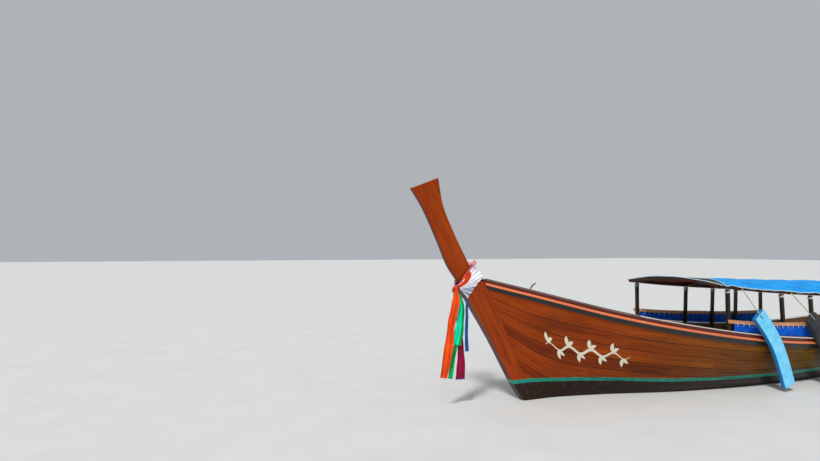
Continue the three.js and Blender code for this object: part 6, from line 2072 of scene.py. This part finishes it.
def tail_tube():
    """The long housing of the propeller shaft, its collar, outer bearing, skeg and brace"""
    shape = Shape(POWER)
    axis, middle = (1, 0, 0), (0, 0, SHAFT_Z)
    shape.lathe([(tube_radius(x), x) for x in np.linspace(*TAIL_X, 24)], middle, axis, sides=28)
    collar = [(0.035, -0.49), (0.054, -0.486), (0.056, -0.478), (0.062, -0.43), (0.064, -0.404),
              (0.072, -0.402), (0.072, -0.3845)]
    shape.lathe(collar, middle, axis, sides=36)
    for a in turns(6):
        place = (-0.402, 0.0665 * math.cos(a), SHAFT_Z + 0.0665 * math.sin(a))
        shape.bolt(place, (-1, 0, 0), 0.0045, finish=1)
    bearing = [
        (0.022, -3.825), (0.032, -3.825), (0.034, -3.822), (0.034, -3.8), (0.038, -3.797), (0.038, -3.786),
        (0.0345, -3.783), (0.0345, -3.73), (0.038, -3.727), (0.038, -3.698), (0.03, -3.69),
    ]
    shape.lathe(bearing, middle, axis)
    shape.plate([(PROPELLER_X + x, SHAFT_Z + z) for x, z in SKEG], -0.004, 0.004)
    shape.tube([(PROPELLER_X + x, 0, SHAFT_Z - 0.03) for x in (0.255, 0.13)], 0.008, 10)
    brace(shape)
    finishes = [STEELWORK, BRIGHT_STEEL]
    shape.build("tail_housing", "engine", finishes, "tail_tube", "steelwork", bevel=0.001)


def propeller():
    """Two blades on a hub with a nut behind it"""
    shape = Shape(POWER)
    centre, axis = (PROPELLER_X, 0, SHAFT_Z), (1, 0, 0)
    shape.lathe([(0.012, -0.04), (0.016, -0.038), (0.016, -0.026)], centre, axis, sides=6, finish=1)
    hub = [(0.018, -0.027), (0.02, -0.025), (0.026, 0), (0.031, 0.035), (0.034, 0.058), (0.032, 0.062)]
    shape.lathe(hub, centre, axis, sides=36)
    shape.lathe([(0.016, 0.06), (0.016, 0.072)], centre, axis, sides=24, finish=1)
    for turn in (0, math.pi):
        blade(shape, centre, turn, PROPELLER_BLADE)
    finishes = [BRONZE, BRIGHT_STEEL]
    shape.build("propeller_screw", "propeller", finishes, "propeller", "propeller_bronze", angle=50)


# Stage

def floor():
    """A pale floor at the waterline, open where the hull sits in it"""
    xs = np.linspace(-4.287, 4.16, 90)
    reach = FLOOR_REACH
    half = [
        (xs[0], 0, 0), *[(x, half_width(x, 0.0, 0.015), 0) for x in xs], (4.22, 0.05, 0), (4.24, 0, 0),
        (reach, 0, 0), (reach, reach, 0), (-reach, reach, 0), (-reach, 0, 0),
    ]
    finish = Finish("floor_pale", 0.85, 0.15)
    speckle = finish.noise(finish.place(), 1.5, detail=3)
    finish.set(base_color=finish.ramp(speckle, (0.3, (0.66, 0.67, 0.67)), (0.7, (0.70, 0.71, 0.71))))
    mesh = bpy.data.meshes.new("floor")
    points = [tuple(p) for side in (1, -1) for p in mirrored(half, side)]
    count = len(half)
    mesh.from_pydata(points, [], [tuple(range(count)), tuple(range(count, 2 * count))])
    mesh.materials.append(finish.material)
    linked("floor", mesh)


def light(name, place, target, energy, spread, colour=(1, 1, 1)):
    data = bpy.data.lights.new(name, "SUN")
    data.energy, data.color, data.angle = energy, colour, math.radians(spread)
    lamp = linked(name, data)
    lamp.location = place
    lamp.rotation_euler = (Vector(target) - Vector(place)).to_track_quat("-Z", "Y").to_euler()


def studio():
    scene = bpy.context.scene
    scene.view_settings.view_transform = "Standard"
    world = bpy.data.worlds.new("studio")
    world.use_nodes = True
    background = world.node_tree.nodes["Background"]
    background.inputs[0].default_value = (0.86, 0.9, 0.95, 1)
    background.inputs[1].default_value = 0.5
    scene.world = world
    light("key", (6, 5, 9), (1, 0, 1), 2.4, 9, (1, 0.97, 0.92))
    light("fill", (9, 9, 3.5), (1, 0, 1), 0.55, 40)


def camera():
    data = bpy.data.cameras.new("camera")
    data.lens, data.sensor_width = CAMERA_LENS, 36
    data.clip_end = 300
    eye = linked("camera", data)
    eye.location = CAMERA_PLACE
    flat = Vector((-math.sin(CAMERA_YAW), -math.cos(CAMERA_YAW), 0)) * math.cos(CAMERA_PITCH)
    eye.rotation_euler = (flat + Vector((0, 0, math.sin(CAMERA_PITCH)))).to_track_quat("-Z", "Y").to_euler()
    bpy.context.scene.camera = eye


camera()
studio()
floor()
planking("bottom", ("fore", "aft"), 0.0, BILGE_SEAM - SEAM_GAP, BOTTOM_SEAMS, False)
planking("side", ("fore", "middle", "aft"), BILGE_SEAM + SEAM_GAP, 1.0, SIDE_SEAMS, True)
keel()
stem()
prow_blade()
transom()
rails()
cap_rails()
frames()
floorboards()
decks()
thwarts()
posts()
roof_frame()
roof_covers()
side_rails()
weather_cloths()
ornament()
fenders()
sash_knot()
sashes()
bow_wrap()
flowers()
anchor()
fuel_tank()
pedestal()
yoke()
cradle()
engine_block()
radiator()
air_cleaner()
exhaust()
gearbox()
tiller()
tail_tube()
propeller()
